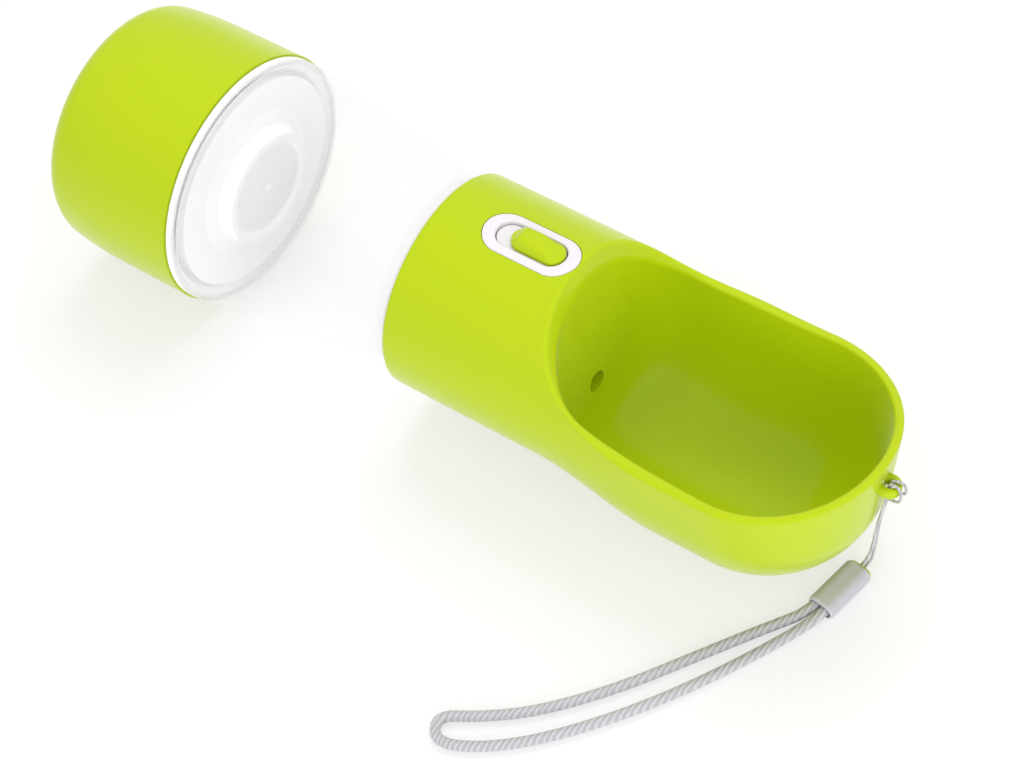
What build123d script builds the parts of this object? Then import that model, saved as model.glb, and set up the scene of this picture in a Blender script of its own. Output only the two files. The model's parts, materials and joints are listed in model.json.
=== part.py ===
from build123d import *
import math
import os

# Dog travel water bottle, lying on its back as it is set down for a drink.
# All sizes are in millimetres. +X runs along the bottle towards the bowl's tip, +Z is up out of
# the bowl, and z = 0 is the surface that the bottle lies on.

# ---------------------------------------------------------------- driving dimensions
cup_radius = 36.3            # food cup, the widest round part
cup_height = 44.3            # food cup, base to mouth
window_length = 66.8         # clear body that shows between the cup and the head
head_length = 130.5          # green head, rear edge to bowl tip
lug_reach = 4.2              # how far the strap lug stands out of the bowl tip

# food cup
cup_wall = 2.4
cup_floor = 2.6
cup_base_taper = 2.1         # how far the base is drawn in from the mouth
cup_base_round = 7.0
cup_foot_width = 10.2        # ring that the bottle stands on
cup_foot_depth = 0.8
cup_seal_depth = 2.3
cup_seal_width = 1.1
cup_lid_gap = 0.25           # between the cup's mouth and the clear body

# clear bottle
bottle_wall = 1.8
bottle_base_step = 0.5       # in from the cup's outside
bottle_waist_step = 1.7      # in from the head's outside
bottle_floor_rise = 2.0      # floor of the water space, from the cup's mouth
bottle_disc_radius = 13.6    # raised centre disc of the floor
bottle_disc_rise = 6.0
bottle_disc_lip = 0.9        # round rib at the disc's edge
bottle_gate_radius = 1.5     # moulding mark in the disc's middle
bottle_gate_rise = 1.1
bottle_step_radius = 18.0
bottle_step_rise = 1.2
skirt_wall = 2.0             # threaded skirt that the cup screws on to
skirt_length = 11.0
neck_wall = 2.0
neck_length = 9.2            # from the head's rear edge to the lip

# screw threads, shared by the neck and the skirt
thread_pitch = 4.0
thread_height = 1.1
thread_base = 1.8
thread_crest = 0.9
thread_turns = 1.5
thread_gap = 0.5             # radial room between a crest and the root it faces
thread_start = 1.0           # first turn's middle from the thread's end
thread_sink = 0.25           # foot of the ridge inside its wall

# head
head_radius = 30.3
head_wall = 2.5
head_edge_round = 1.2
bowl_wall = 2.8
bowl_swell = 1.5             # bowl's round back, out from the barrel
bowl_flare = 1.2             # rim at the tip, out from the round back
bowl_start = 45.2            # where the round barrel starts to swell, from the head's rear edge
bowl_full = 81.2             # where the bowl has its full section
bowl_side_slope = 3.4        # degrees that the sides lean out
rear_wall_reach = 45.8       # bowl's rear wall on the bottle's axis, from the head's rear edge
rear_wall_lean = 4.6         # degrees
rear_wall_bow = 70.0         # plan radius of the rear wall
rear_wall_corner = 20.0
rear_wall_inset = 2.1        # its half width, in from the bowl's round back
rear_wall_flare = 6.0
partition = 2.6
rim_height = 7.4             # rim above the bottle's axis along the sides
rim_back_reach = 41.9        # rim's highest place, from the head's rear edge
rim_rear_rise = 21.9
rim_rear_fade = 10.0
rim_tip_rise = 5.6
lug_radius = 3.2
lug_hole_radius = 1.3
lug_thickness = 3.0
lug_height = 4.6             # lug's middle above the bottle's axis

# collar that takes the bottle's neck, and its deck
collar_flange = 0.8
collar_flange_step = 1.3     # in from the head's outside
collar_wall = 2.0
collar_fit = 0.2
deck_thickness = 2.2
gasket_thickness = 1.6
deck_ring_section = 1.0
post_height = 3.2            # screw posts and the spout's socket on the deck
post_radius = 3.0
socket_length = 2.0
socket_wall = 1.2
deck_groove_depth = 0.8

# button group
bezel_length = 27.5
bezel_width = 13.4
bezel_centre = 27.4          # from the head's rear edge
bezel_proud = 0.3
bezel_flange = 1.7
bezel_skirt_length = 24.0
bezel_skirt_width = 11.4
bezel_skirt_reach = 3.6
bezel_fit = 0.15
slot_length = 20.4
slot_width = 8.4
track_depth = 1.4            # white track that the key slides on, under the bezel's face
button_length = 16.0
button_width = 7.8
button_gap = 0.35
button_proud = 1.1
button_ridge = 1.7
ridge_radius = 2.6
tongue_length = 8.0          # tee-shaped tongue that holds the key in its track
tongue_width = 2.6
tongue_foot_width = 4.6
tongue_neck = 2.0
tongue_foot = 1.0
lock_travel = 3.2
press_travel = 3.0
carrier_plate = 2.2
carrier_length = 22.0
carrier_width = 14.0
carrier_socket_wall = 2.0

# valve
valve_x = 28.2               # stem's axis, from the head's rear edge
port_height = 12.2           # ports below the bottle's axis
stem_radius = 3.3
stem_core = 1.9
stem_fit = 0.35
stem_step = 0.7              # down to the end that the carrier grips
stem_shoulder = 5.0          # where the stem steps down to the carrier's socket
stem_top = 18.6
stem_foot = 16.6
sleeve_top = 9.9             # rubber sleeve covers the port while the button is up
sleeve_foot = 15.6
sleeve_wall = 1.0
waist_top = 6.0
valve_radius = 6.0
valve_top = 8.5
valve_clearance = 3.8        # valve's foot in from the barrel's inside
valve_flange = 2.0
cap_thickness = 1.6
port_radius = 1.5
spout_radius = 2.4
nozzle_radius = 2.9
nozzle_bore = 2.1
nozzle_recess = 3.0          # nozzle's end behind the bowl's rear wall
outlet_hole_radius = 3.1
outlet_boss_radius = 5.4
outlet_boss_length = 3.4     # boss behind the partition
o_ring_section = 1.0
spring_wire = 0.5
spring_radius = 2.5
spring_turns = 4
screw_spacing = 19.0
screw_radius = 1.0
screw_head_radius = 1.9
screw_head_height = 1.4
drive_width = 0.5
drive_depth = 0.7

# working clearances
face_gap = 0.05              # between faces that are clamped together
running_gap = 0.3

# strap
string_diameter = 0.8
strap_diameter = 2.8
clamp_width = 7.9
clamp_thickness = 5.2
clamp_length = 16.0
clamp_round = 0.8
clamp_insert_length = 4.5

# ---------------------------------------------------------------- stations along the bottle
axis_z = cup_radius
total_length = cup_height + window_length + head_length + lug_reach
x_cup_base = -total_length / 2
x_joint = x_cup_base + cup_height
x_head = x_joint + window_length
x_tip = x_head + head_length
x_shoulder = x_head - collar_flange
x_lip = x_head + neck_length
x_deck = x_lip + gasket_thickness + 4 * face_gap
x_deck_front = x_deck + deck_thickness
x_bowl_start = x_head + bowl_start
x_bowl_full = x_head + bowl_full
x_rear_wall = x_head + rear_wall_reach
x_rim_back = x_head + rim_back_reach
x_bezel = x_head + bezel_centre
x_valve = x_head + valve_x
z_port = axis_z - port_height

# ---------------------------------------------------------------- radii that follow one another
cup_inner = cup_radius - cup_wall
skirt_radius = cup_inner - thread_height - thread_gap
cup_base_radius = cup_radius - cup_base_taper
bottle_base_radius = cup_radius - bottle_base_step
bottle_waist_radius = head_radius - bottle_waist_step
bore_radius = head_radius - head_wall
collar_outer = bore_radius - collar_fit
valve_foot = bore_radius - valve_clearance
collar_root = collar_outer - collar_wall
neck_radius = collar_root - thread_gap - thread_height
collar_flange_radius = head_radius - collar_flange_step
bowl_radius = head_radius + bowl_swell
bowl_side_width = bowl_radius + bowl_flare
x_bowl_end = x_tip - bowl_side_width
tube_bore = stem_radius + stem_fit
sleeve_core = stem_radius - sleeve_wall

# heights that bracket the top of the barrel's skin, above the bottle's axis
below_skin = head_radius / 2
above_skin = 1.5 * head_radius

side = Plane(origin=(0, 0, axis_z), x_dir=(1, 0, 0), z_dir=(0, -1, 0))
bottle_axis = Axis((0, 0, axis_z), (1, 0, 0))
valve_side = Plane(origin=(x_valve, 0, axis_z), x_dir=(1, 0, 0), z_dir=(0, -1, 0))
stem_axis = Axis((x_valve, 0, axis_z), (0, 0, 1))


def across(x, height):
    """A plane across the bottle, its middle at a height above the bottle's axis."""
    return Plane(origin=(x, 0, axis_z + height), x_dir=(0, 1, 0), z_dir=(1, 0, 0))


def band(x_from, x_to, r_inner, r_outer):
    """A ring round the bottle's axis, drawn in a half section and turned."""
    with BuildPart() as ring:
        with BuildSketch(side):
            with Locations(((x_from + x_to) / 2, (r_inner + r_outer) / 2)):
                Rectangle(x_to - x_from, r_outer - r_inner)
        revolve(axis=bottle_axis)
    return ring.part


def stem_band(z_from, z_to, r_inner, r_outer):
    """A ring round the valve stem's axis; heights are above the bottle's axis."""
    with BuildPart() as ring:
        with BuildSketch(valve_side):
            with Locations(((r_inner + r_outer) / 2, (z_from + z_to) / 2)):
                Rectangle(r_outer - r_inner, z_to - z_from)
        revolve(axis=stem_axis)
    return ring.part


def port_band(x_from, x_to, r_inner, r_outer):
    """A ring round the line of the ports, which runs under the bottle's axis."""
    with BuildPart() as ring:
        with BuildSketch(across(x_from, -port_height)):
            Circle(r_outer)
            if r_inner > 0:
                Circle(r_inner, mode=Mode.SUBTRACT)
        extrude(amount=x_to - x_from)
    return ring.part


def slot_block(length, width, z_from, z_to, x_centre):
    """An upright block with round ends; heights are above the bottle's axis."""
    with BuildPart() as block:
        with BuildSketch(Plane.XY.offset(axis_z + z_from)):
            with Locations((x_centre, 0)):
                SlotOverall(length, width)
        extrude(amount=z_to - z_from)
    return block.part


def bar(length, width, z_from, z_to, x_centre):
    """An upright block with square ends; heights are above the bottle's axis."""
    with BuildPart() as block:
        with BuildSketch(Plane.XY.offset(axis_z + z_from)):
            with Locations((x_centre, 0)):
                Rectangle(length, width)
        extrude(amount=z_to - z_from)
    return block.part


def thread_ridge(root_radius, x_start, outward, phase):
    """One helical ridge round the bottle's axis, its foot sunk a little into the wall."""
    sign = 1 if outward else -1
    with BuildPart() as ridge:
        with BuildLine() as path:
            Helix(
                thread_pitch,
                thread_turns * thread_pitch,
                root_radius,
                center=(x_start, 0, axis_z),
                direction=(1, 0, 0),
            )
        foot = path.line @ 0
        radial = (foot - Vector(x_start, 0, axis_z)).normalized()
        with BuildSketch(Plane(origin=foot, x_dir=radial, z_dir=path.line % 0)):
            with BuildLine():
                Polyline(
                    (-sign * thread_sink, -thread_base / 2),
                    (sign * thread_height, -thread_crest / 2),
                    (sign * thread_height, thread_crest / 2),
                    (-sign * thread_sink, thread_base / 2),
                    close=True,
                )
            make_face()
        sweep(path=path.line, is_frenet=True)
    return ridge.part.rotate(bottle_axis, phase)


# ---------------------------------------------------------------- food cup
cup_mouth_x = x_joint - cup_lid_gap
cup_straight_x = x_joint - cup_height / 2
cup_floor_x = x_cup_base + cup_foot_depth + cup_floor
cup_foot_inner = cup_base_radius - cup_foot_width
cup_seal_inner = skirt_radius + thread_height + running_gap
cup_seal_outer = cup_seal_inner + cup_seal_width
cup_seat_radius = cup_seal_outer + 4 * face_gap
skirt_thread_x = x_joint - skirt_length + thread_start
outer_corner = (x_cup_base, cup_base_radius)
inner_corner = (cup_floor_x, cup_base_radius - cup_wall)

with BuildPart() as food_cup:
    with BuildSketch(side) as cup_section:
        with BuildLine():
            rim = Line((cup_mouth_x, cup_radius), (cup_straight_x, cup_radius))
            TangentArc(rim @ 1, outer_corner, tangent=rim % 1)
            Polyline(
                outer_corner,
                (x_cup_base, cup_foot_inner),
                (x_cup_base + cup_foot_depth, cup_foot_inner),
                (x_cup_base + cup_foot_depth, 0),
                (cup_floor_x, 0),
                inner_corner,
            )
            wall = Line((cup_straight_x, cup_inner), (x_joint - cup_seal_depth, cup_inner))
            TangentArc(wall @ 0, inner_corner, tangent=wall % 0 * -1)
            Polyline(
                (x_joint - cup_seal_depth, cup_inner),
                (x_joint - cup_seal_depth, cup_seat_radius),
                (cup_mouth_x, cup_seat_radius),
                (cup_mouth_x, cup_radius),
            )
        make_face()
        fillet(cup_section.vertices().sort_by_distance(outer_corner)[0], cup_base_round)
        fillet(cup_section.vertices().sort_by_distance(inner_corner)[0], cup_base_round - cup_wall)
    revolve(axis=bottle_axis)
    add(thread_ridge(cup_inner, skirt_thread_x, False, 180))
food_cup.part.label = "food_cup"

with BuildPart() as cup_seal:
    add(band(x_joint - cup_seal_depth + face_gap, x_joint - 2 * face_gap, cup_seal_inner, cup_seal_outer))
cup_seal.part.label = "cup_seal"

# ---------------------------------------------------------------- clear bottle
# shares of the way from the cup to the head, with how much of the wide base is left there
swell = [(0.0, 1.0), (0.2, 0.88), (0.42, 0.64), (0.66, 0.33), (0.86, 0.08), (1.0, 0.0)]
x_bottle_base = x_joint + 4 * face_gap


def bottle_curve(inset):
    """S-shaped taper from the wide base to the waist, drawn in by the wall on the inside."""
    return [
        (
            x_bottle_base + share * (x_shoulder - x_bottle_base),
            bottle_waist_radius + level * (bottle_base_radius - bottle_waist_radius) - inset,
        )
        for share, level in swell
    ]


outside = bottle_curve(0)
inside = bottle_curve(bottle_wall)
floor_x = x_joint + bottle_floor_rise
disc_x = x_joint + bottle_disc_rise
rib_x = disc_x + bottle_disc_lip
gate_x = disc_x + bottle_gate_rise
skirt_end_x = x_joint - skirt_length
inner_start = (floor_x, inside[0][1])
inner_points = [inner_start] + inside[1:-1] + [(x_shoulder - 2 * bottle_wall, inside[-1][1])]

with BuildPart() as bottle:
    with BuildSketch(side) as bottle_section:
        with BuildLine():
            Spline(*outside)
            Polyline(
                outside[-1],
                (x_shoulder, neck_radius),
                (x_lip, neck_radius),
                (x_lip, neck_radius - neck_wall),
                (x_shoulder - bottle_wall, neck_radius - neck_wall),
                inner_points[-1],
            )
            Spline(*inner_points)
            Polyline(
                inner_start,
                (floor_x, bottle_step_radius + 2 * bottle_wall),
                (floor_x + bottle_step_rise, bottle_step_radius),
                (rib_x, bottle_disc_radius + 3 * bottle_disc_lip),
                (rib_x, bottle_disc_radius + bottle_disc_lip),
                (disc_x, bottle_disc_radius),
                (disc_x, bottle_gate_radius),
                (gate_x, bottle_gate_radius / 2),
                (gate_x, 0),
                (disc_x - bottle_wall, 0),
                (disc_x - bottle_wall, bottle_disc_radius),
                (floor_x - bottle_wall, bottle_step_radius),
                (floor_x - bottle_wall, skirt_radius - skirt_wall),
                (skirt_end_x, skirt_radius - skirt_wall),
                (skirt_end_x, skirt_radius),
                (x_bottle_base, skirt_radius),
                outside[0],
            )
        make_face()
    revolve(axis=bottle_axis)
    add(thread_ridge(skirt_radius, skirt_thread_x, True, 0))
    add(thread_ridge(neck_radius, x_head + thread_start, True, 0))
bottle.part.label = "bottle"

# ---------------------------------------------------------------- neck gasket and collar
with BuildPart() as neck_gasket:
    gasket_x = x_lip + 2 * face_gap
    add(band(gasket_x, gasket_x + gasket_thickness, neck_radius - neck_wall, neck_radius))
neck_gasket.part.label = "neck_gasket"

ring_groove_x = x_deck + (deck_thickness - deck_ring_section) / 2 - face_gap
ring_groove_end = ring_groove_x + deck_ring_section + 2 * face_gap
ring_groove_radius = collar_outer - deck_groove_depth
socket_radius = spout_radius + o_ring_section + face_gap
socket_x = x_deck_front + socket_length - o_ring_section - 2 * face_gap
post_top_x = x_deck_front + post_height

with BuildPart() as neck_collar:
    add(band(x_head, x_deck_front, collar_root, collar_outer))
    add(band(x_shoulder + 2 * face_gap, x_head, collar_root, collar_flange_radius))
    with BuildSketch(across(x_deck, 0)):
        Circle(collar_root + collar_wall / 2)
    extrude(amount=deck_thickness)
    with BuildSketch(across(x_deck_front, -port_height)):
        with GridLocations(screw_spacing, 0, 2, 1):
            Circle(post_radius)
    extrude(amount=post_height)
    with BuildSketch(across(x_deck_front, -port_height)):
        Circle(socket_radius + socket_wall)
    extrude(amount=socket_length)
    add(port_band(socket_x, post_top_x, 0, socket_radius), mode=Mode.SUBTRACT)
    with BuildSketch(across(x_deck, -port_height)):
        Circle(spout_radius + 2 * face_gap)
    extrude(amount=deck_thickness + post_height, mode=Mode.SUBTRACT)
    with BuildSketch(across(x_deck + deck_thickness / 2, -port_height)):
        with GridLocations(screw_spacing, 0, 2, 1):
            Circle(screw_radius + 2 * face_gap)
    extrude(amount=deck_thickness + post_height, mode=Mode.SUBTRACT)
    add(
        band(ring_groove_x, ring_groove_end, ring_groove_radius, bore_radius),
        mode=Mode.SUBTRACT,
    )
    add(thread_ridge(collar_root, x_head + thread_start, False, 180))
neck_collar.part.label = "neck_collar"

with BuildPart() as deck_seal:
    seal_x = ring_groove_x + face_gap
    add(band(seal_x, seal_x + deck_ring_section, ring_groove_radius + face_gap, bore_radius - face_gap))
deck_seal.part.label = "deck_seal"


# ---------------------------------------------------------------- head shell
def rim_level(x):
    """Height of the bowl's rim above the bottle's axis."""
    back = math.exp(-(x - x_rim_back) / rim_rear_fade)
    along = max(0.0, (x - x_bowl_start) / (x_tip - x_bowl_start))
    return rim_height + rim_rear_rise * back + rim_tip_rise * along**5


def blend(start, end, share):
    """Smooth step from one value to another."""
    ease = share * share * (3 - 2 * share)
    return start + (end - start) * ease


def bowl_outline(x, share, inset, top, top_width):
    """Half-round section of the barrel and bowl, on a plane across the bottle.

    share 0 is the round barrel and share 1 the full bowl. The back is one arc, and each side
    is an arc that leaves it smoothly and ends at the height top.
    """
    radius = blend(head_radius, bowl_radius, share) - inset
    base = blend(-head_radius, -axis_z, share) + inset
    turn = math.radians(blend(20, 5, share))
    corner = (radius * math.cos(turn), base + radius - radius * math.sin(turn))
    spread = corner[0] + math.tan(math.radians(bowl_side_slope)) * (top - corner[1])
    width = blend(top_width, spread, share)
    with BuildSketch(across(x, 0)) as outline:
        with BuildLine():
            back = ThreePointArc((-corner[0], corner[1]), (0, base), corner)
            TangentArc(back @ 1, (width, top), tangent=back % 1)
            Line((width, top), (-width, top))
            TangentArc(back @ 0, (-width, top), tangent=back % 0 * -1)
        make_face()
    return outline.sketch.faces()[0]


def bowl_body(inset, top, top_width, x_start):
    """The swelling barrel, the straight bowl and its half-turned tip as one solid."""
    sections = []
    for k in range(6):
        x = x_start + (x_bowl_full - x_start) * k / 5
        share = max(0.0, (x - x_bowl_start) / (x_bowl_full - x_bowl_start))
        sections.append(bowl_outline(x, share, inset, top, top_width))
    half_bowl = Plane(origin=(x_bowl_end, 0, axis_z), x_dir=(1, 0, 0), z_dir=(0, -1, 0))
    with BuildPart() as body:
        loft(sections=sections)
        extrude(sections[-1], amount=x_bowl_end - x_bowl_full)
        end = bowl_outline(x_bowl_end, 1.0, inset, top, top_width)
        half = split(end, bisect_by=half_bowl, keep=Keep.BOTTOM, mode=Mode.PRIVATE)
        revolve(half, axis=Axis((x_bowl_end, 0, axis_z), (0, 0, 1)), revolution_arc=-180)
    return body.part


lean = math.radians(rear_wall_lean)
wall_plane = Plane(
    origin=(x_rear_wall, 0, axis_z),
    x_dir=(math.cos(lean), 0, math.sin(lean)),
    z_dir=(-math.sin(lean), 0, math.cos(lean)),
)


def ahead_of_wall(shift):
    """Everything in front of the bowl's bowed and leaning rear wall, moved back by shift."""
    bow = rear_wall_bow + shift
    half = bowl_radius - rear_wall_inset + shift
    sag = bow - math.sqrt(bow**2 - half**2)
    with BuildPart() as space:
        with BuildSketch(wall_plane) as plan:
            with BuildLine():
                ThreePointArc((sag - shift, -half), (-shift, 0), (sag - shift, half))
                Polyline(
                    (sag - shift, half),
                    (head_length, half + rear_wall_flare),
                    (head_length, -half - rear_wall_flare),
                    (sag - shift, -half),
                )
            make_face()
            fillet(plan.vertices().sort_by(Axis.X)[0:2], rear_wall_corner)
        extrude(amount=2 * head_radius, both=True)
    return space.part


barrel = band(x_head, x_bowl_start, 0, head_radius)
outer_top = head_radius - 4.3
outer_top_width = math.sqrt(head_radius**2 - outer_top**2)
inner_top = head_radius + 0.7
inner_top_width = head_radius * 0.3
outer_bowl = bowl_body(0, outer_top, outer_top_width, x_bowl_start)
inner_bowl = bowl_body(bowl_wall, inner_top, inner_top_width, x_rear_wall - 3 * partition)
bowl_space = inner_bowl & ahead_of_wall(0)
chamber = band(x_head - head_edge_round, x_bowl_full, 0, bore_radius) - ahead_of_wall(partition)

rim_from = x_rear_wall - 3 * partition
rim_reach = total_length / 2 + lug_reach - rim_from
rim_steps = 9
rim_line = []
for k in range(rim_steps + 1):
    rim_x = rim_from + rim_reach * (k / rim_steps) ** 1.6
    rim_line.append((rim_x, rim_level(rim_x)))

wall_front_x = x_rear_wall + port_height * math.tan(lean)
boss_back_x = wall_front_x - partition - outlet_boss_length
boss_front_x = wall_front_x + 2 * partition
outlet_groove_x = boss_back_x + o_ring_section
outlet_groove_end = outlet_groove_x + o_ring_section + 4 * face_gap
ring_space = nozzle_radius + o_ring_section + 2 * face_gap
bezel_face = head_radius + bezel_proud
bezel_back = bezel_face - bezel_flange
bezel_play = 2 * bezel_fit
skirt_play = 2 * running_gap
bezel_hole = slot_block(
    bezel_skirt_length + skirt_play, bezel_skirt_width + skirt_play, below_skin, above_skin, x_bezel
)
bezel_seat = slot_block(
    bezel_length + bezel_play, bezel_width + bezel_play, below_skin, above_skin, x_bezel
)
bezel_seat_skin = band(x_head, x_rear_wall, bezel_back, above_skin)
lug_z = axis_z + lug_height
x_lug = x_tip + lug_reach - lug_radius

with BuildPart() as head_shell:
    add(barrel)
    add(outer_bowl)
    rear_edge = head_shell.edges().filter_by(GeomType.CIRCLE).sort_by(Axis.X)[0]
    fillet(rear_edge, head_edge_round)
    add(chamber, mode=Mode.SUBTRACT)
    add(port_band(boss_back_x, boss_front_x, 0, outlet_boss_radius))
    add(bowl_space, mode=Mode.SUBTRACT)
    with BuildSketch(side):
        with BuildLine():
            Spline(*rim_line)
            Polyline(rim_line[-1], (rim_line[-1][0], rim_line[0][1]), rim_line[0])
        make_face()
    extrude(amount=2 * head_radius, both=True, mode=Mode.SUBTRACT)
    add(bezel_hole, mode=Mode.SUBTRACT)
    add(bezel_seat & bezel_seat_skin, mode=Mode.SUBTRACT)
    add(port_band(boss_back_x - partition, boss_front_x, 0, outlet_hole_radius), mode=Mode.SUBTRACT)
    add(port_band(outlet_groove_x, outlet_groove_end, 0, ring_space), mode=Mode.SUBTRACT)
    with BuildSketch(Plane.XY.offset(lug_z - lug_thickness / 2)):
        with Locations((x_lug, 0)):
            Circle(lug_radius)
        with Locations((x_lug - lug_radius, 0)):
            Rectangle(2 * lug_radius, 2 * lug_radius)
    extrude(amount=lug_thickness)
    add(
        inner_bowl & slot_block(2 * bowl_radius, bowl_radius, -below_skin, below_skin, x_tip - bowl_radius),
        mode=Mode.SUBTRACT,
    )
    with BuildSketch(Plane.XY.offset(lug_z - lug_thickness)):
        with Locations((x_lug, 0)):
            Circle(lug_hole_radius)
    extrude(amount=2 * lug_thickness, mode=Mode.SUBTRACT)
head_shell.part.label = "head_shell"

# ---------------------------------------------------------------- valve
flange_x = post_top_x + face_gap
spout_back_x = flange_x - socket_length - o_ring_section
nozzle_socket_x = x_valve + valve_radius - 1.0
screw_head_x = flange_x + valve_flange + face_gap
cap_plug = cap_thickness - face_gap

with BuildPart() as valve_body:
    add(stem_band(-valve_foot, valve_top, 0, valve_radius))
    add(port_band(spout_back_x, x_valve, 0, spout_radius))
    add(port_band(flange_x, x_valve, 0, socket_radius + running_gap))
    add(port_band(x_valve, x_valve + valve_radius + port_radius, 0, nozzle_radius + bottle_wall))
    with BuildSketch(across(flange_x, -port_height)):
        SlotOverall(screw_spacing + 2 * post_radius, 2 * post_radius)
    extrude(amount=valve_flange)
    add(stem_band(-valve_foot - 1, valve_top + 1, 0, tube_bore), mode=Mode.SUBTRACT)
    add(port_band(spout_back_x - 1, x_valve + 2 * valve_radius, 0, port_radius), mode=Mode.SUBTRACT)
    add(
        port_band(nozzle_socket_x, x_valve + 2 * valve_radius, 0, nozzle_radius + face_gap),
        mode=Mode.SUBTRACT,
    )
    with BuildSketch(across(flange_x - 1, -port_height)):
        with GridLocations(screw_spacing, 0, 2, 1):
            Circle(screw_radius + 2 * face_gap)
    extrude(amount=valve_flange + 2, mode=Mode.SUBTRACT)
valve_body.part.label = "valve_body"

with BuildPart() as spring_cap:
    add(stem_band(-valve_foot - cap_thickness, -valve_foot - face_gap, 0, valve_radius))
    add(stem_band(-valve_foot - face_gap, -valve_foot + cap_plug, 0, tube_bore - face_gap))
spring_cap.part.label = "spring_cap"

seal_foot = -waist_top + sleeve_wall + 0.5
with BuildPart() as valve_stem:
    add(stem_band(-stem_foot, -sleeve_foot, 0, stem_radius))
    add(stem_band(-sleeve_foot, -sleeve_top + sleeve_wall, 0, sleeve_core))
    add(stem_band(-sleeve_top, -waist_top, 0, stem_core))
    add(stem_band(-waist_top, stem_shoulder, 0, stem_radius))
    add(
        stem_band(seal_foot - face_gap, seal_foot + o_ring_section + face_gap, sleeve_core, valve_radius),
        mode=Mode.SUBTRACT,
    )
    add(stem_band(stem_shoulder, stem_top, 0, stem_radius - stem_step))
valve_stem.part.label = "valve_stem"

with BuildPart() as stem_sleeve:
    add(stem_band(-sleeve_foot, -sleeve_top, sleeve_core, stem_radius))
stem_sleeve.part.label = "stem_sleeve"

with BuildPart() as stem_seal:
    add(stem_band(seal_foot, seal_foot + o_ring_section, sleeve_core, stem_radius + face_gap))
stem_seal.part.label = "stem_seal"

spring_foot = -valve_foot + cap_thickness + spring_wire
spring_height = -stem_foot - spring_wire - spring_foot
spring_pitch = spring_height / spring_turns
with BuildPart() as return_spring:
    with BuildLine() as coil:
        Helix(spring_pitch, spring_height, spring_radius, center=(x_valve, 0, axis_z + spring_foot))
    with BuildSketch(Plane(origin=coil.line @ 0, z_dir=coil.line % 0)):
        Circle(spring_wire / 2)
    sweep(path=coil.line, is_frenet=True)
return_spring.part.label = "return_spring"

with BuildPart() as inlet_seal:
    inlet_x = socket_x + 2 * face_gap
    add(port_band(inlet_x, inlet_x + o_ring_section, spout_radius, spout_radius + o_ring_section))
inlet_seal.part.label = "inlet_seal"

with BuildPart() as outlet_nozzle:
    add(port_band(nozzle_socket_x + face_gap, wall_front_x - nozzle_recess, nozzle_bore, nozzle_radius))
outlet_nozzle.part.label = "outlet_nozzle"

with BuildPart() as outlet_seal:
    outlet_x = outlet_groove_x + 2 * face_gap
    add(port_band(outlet_x, outlet_x + o_ring_section, nozzle_radius, nozzle_radius + o_ring_section))
outlet_seal.part.label = "outlet_seal"

screw_point_x = x_deck + deck_thickness / 2 + 4 * face_gap
with BuildPart() as valve_screws:
    with BuildSketch(across(screw_point_x, -port_height)):
        with GridLocations(screw_spacing, 0, 2, 1):
            Circle(screw_radius)
    extrude(amount=screw_head_x - screw_point_x)
    with BuildSketch(across(screw_head_x, -port_height)):
        with GridLocations(screw_spacing, 0, 2, 1):
            Circle(screw_head_radius)
    extrude(amount=screw_head_height)
    with BuildSketch(across(screw_head_x + screw_head_height - drive_depth, -port_height)):
        with GridLocations(screw_spacing, 0, 2, 1):
            Rectangle(2.5 * screw_radius, drive_width)
            Rectangle(drive_width, 2.5 * screw_radius)
    extrude(amount=2 * drive_depth, mode=Mode.SUBTRACT)
valve_screws.part.label = "valve_screws"

# ---------------------------------------------------------------- button group
skirt_foot = bezel_back - bezel_skirt_reach
track_top = bezel_face - track_depth
key_foot = track_top + bezel_fit
key_face = head_radius + button_proud
button_x = x_bezel + (slot_length - button_length) / 2 - button_gap
carrier_top = skirt_foot - running_gap
carrier_foot = carrier_top - carrier_plate
neck_foot = track_top - tongue_neck
tongue_end = neck_foot - tongue_foot
groove_length = tongue_length + lock_travel + 2 * running_gap
groove_x = button_x - lock_travel / 2
tongue_fit = 2 * bezel_fit
slot_play = 2 * button_gap

key_skin = band(x_head, x_rear_wall, 0, key_face)
ridge_height = key_face + button_ridge - ridge_radius
ridge_length = button_width - 2 * button_gap
ridge_plane = Plane(origin=(button_x, 0, axis_z + ridge_height), z_dir=(0, 1, 0))
with BuildPart() as thumb_button:
    add(slot_block(button_length, button_width, key_foot, above_skin, button_x) & key_skin)
    with BuildSketch(ridge_plane):
        Circle(ridge_radius)
    extrude(amount=ridge_length / 2, both=True)
    add(bar(2 * ridge_radius, button_width, below_skin, key_foot, button_x), mode=Mode.SUBTRACT)
    add(bar(tongue_length, tongue_width, neck_foot, key_foot, button_x))
    add(bar(tongue_length, tongue_foot_width, tongue_end, neck_foot, button_x))
thumb_button.part.label = "thumb_button"

bezel_skin = band(x_head, x_rear_wall, 0, bezel_face)
bezel_under = band(x_head, x_rear_wall, 0, bezel_back + face_gap)
with BuildPart() as button_bezel:
    add((slot_block(bezel_length, bezel_width, below_skin, above_skin, x_bezel) & bezel_skin) - bezel_under)
    add(slot_block(bezel_skirt_length, bezel_skirt_width, skirt_foot, above_skin, x_bezel) & bezel_skin)
    add(slot_block(slot_length, slot_width, below_skin, above_skin, x_bezel), mode=Mode.SUBTRACT)
button_bezel.part.label = "button_bezel"

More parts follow.
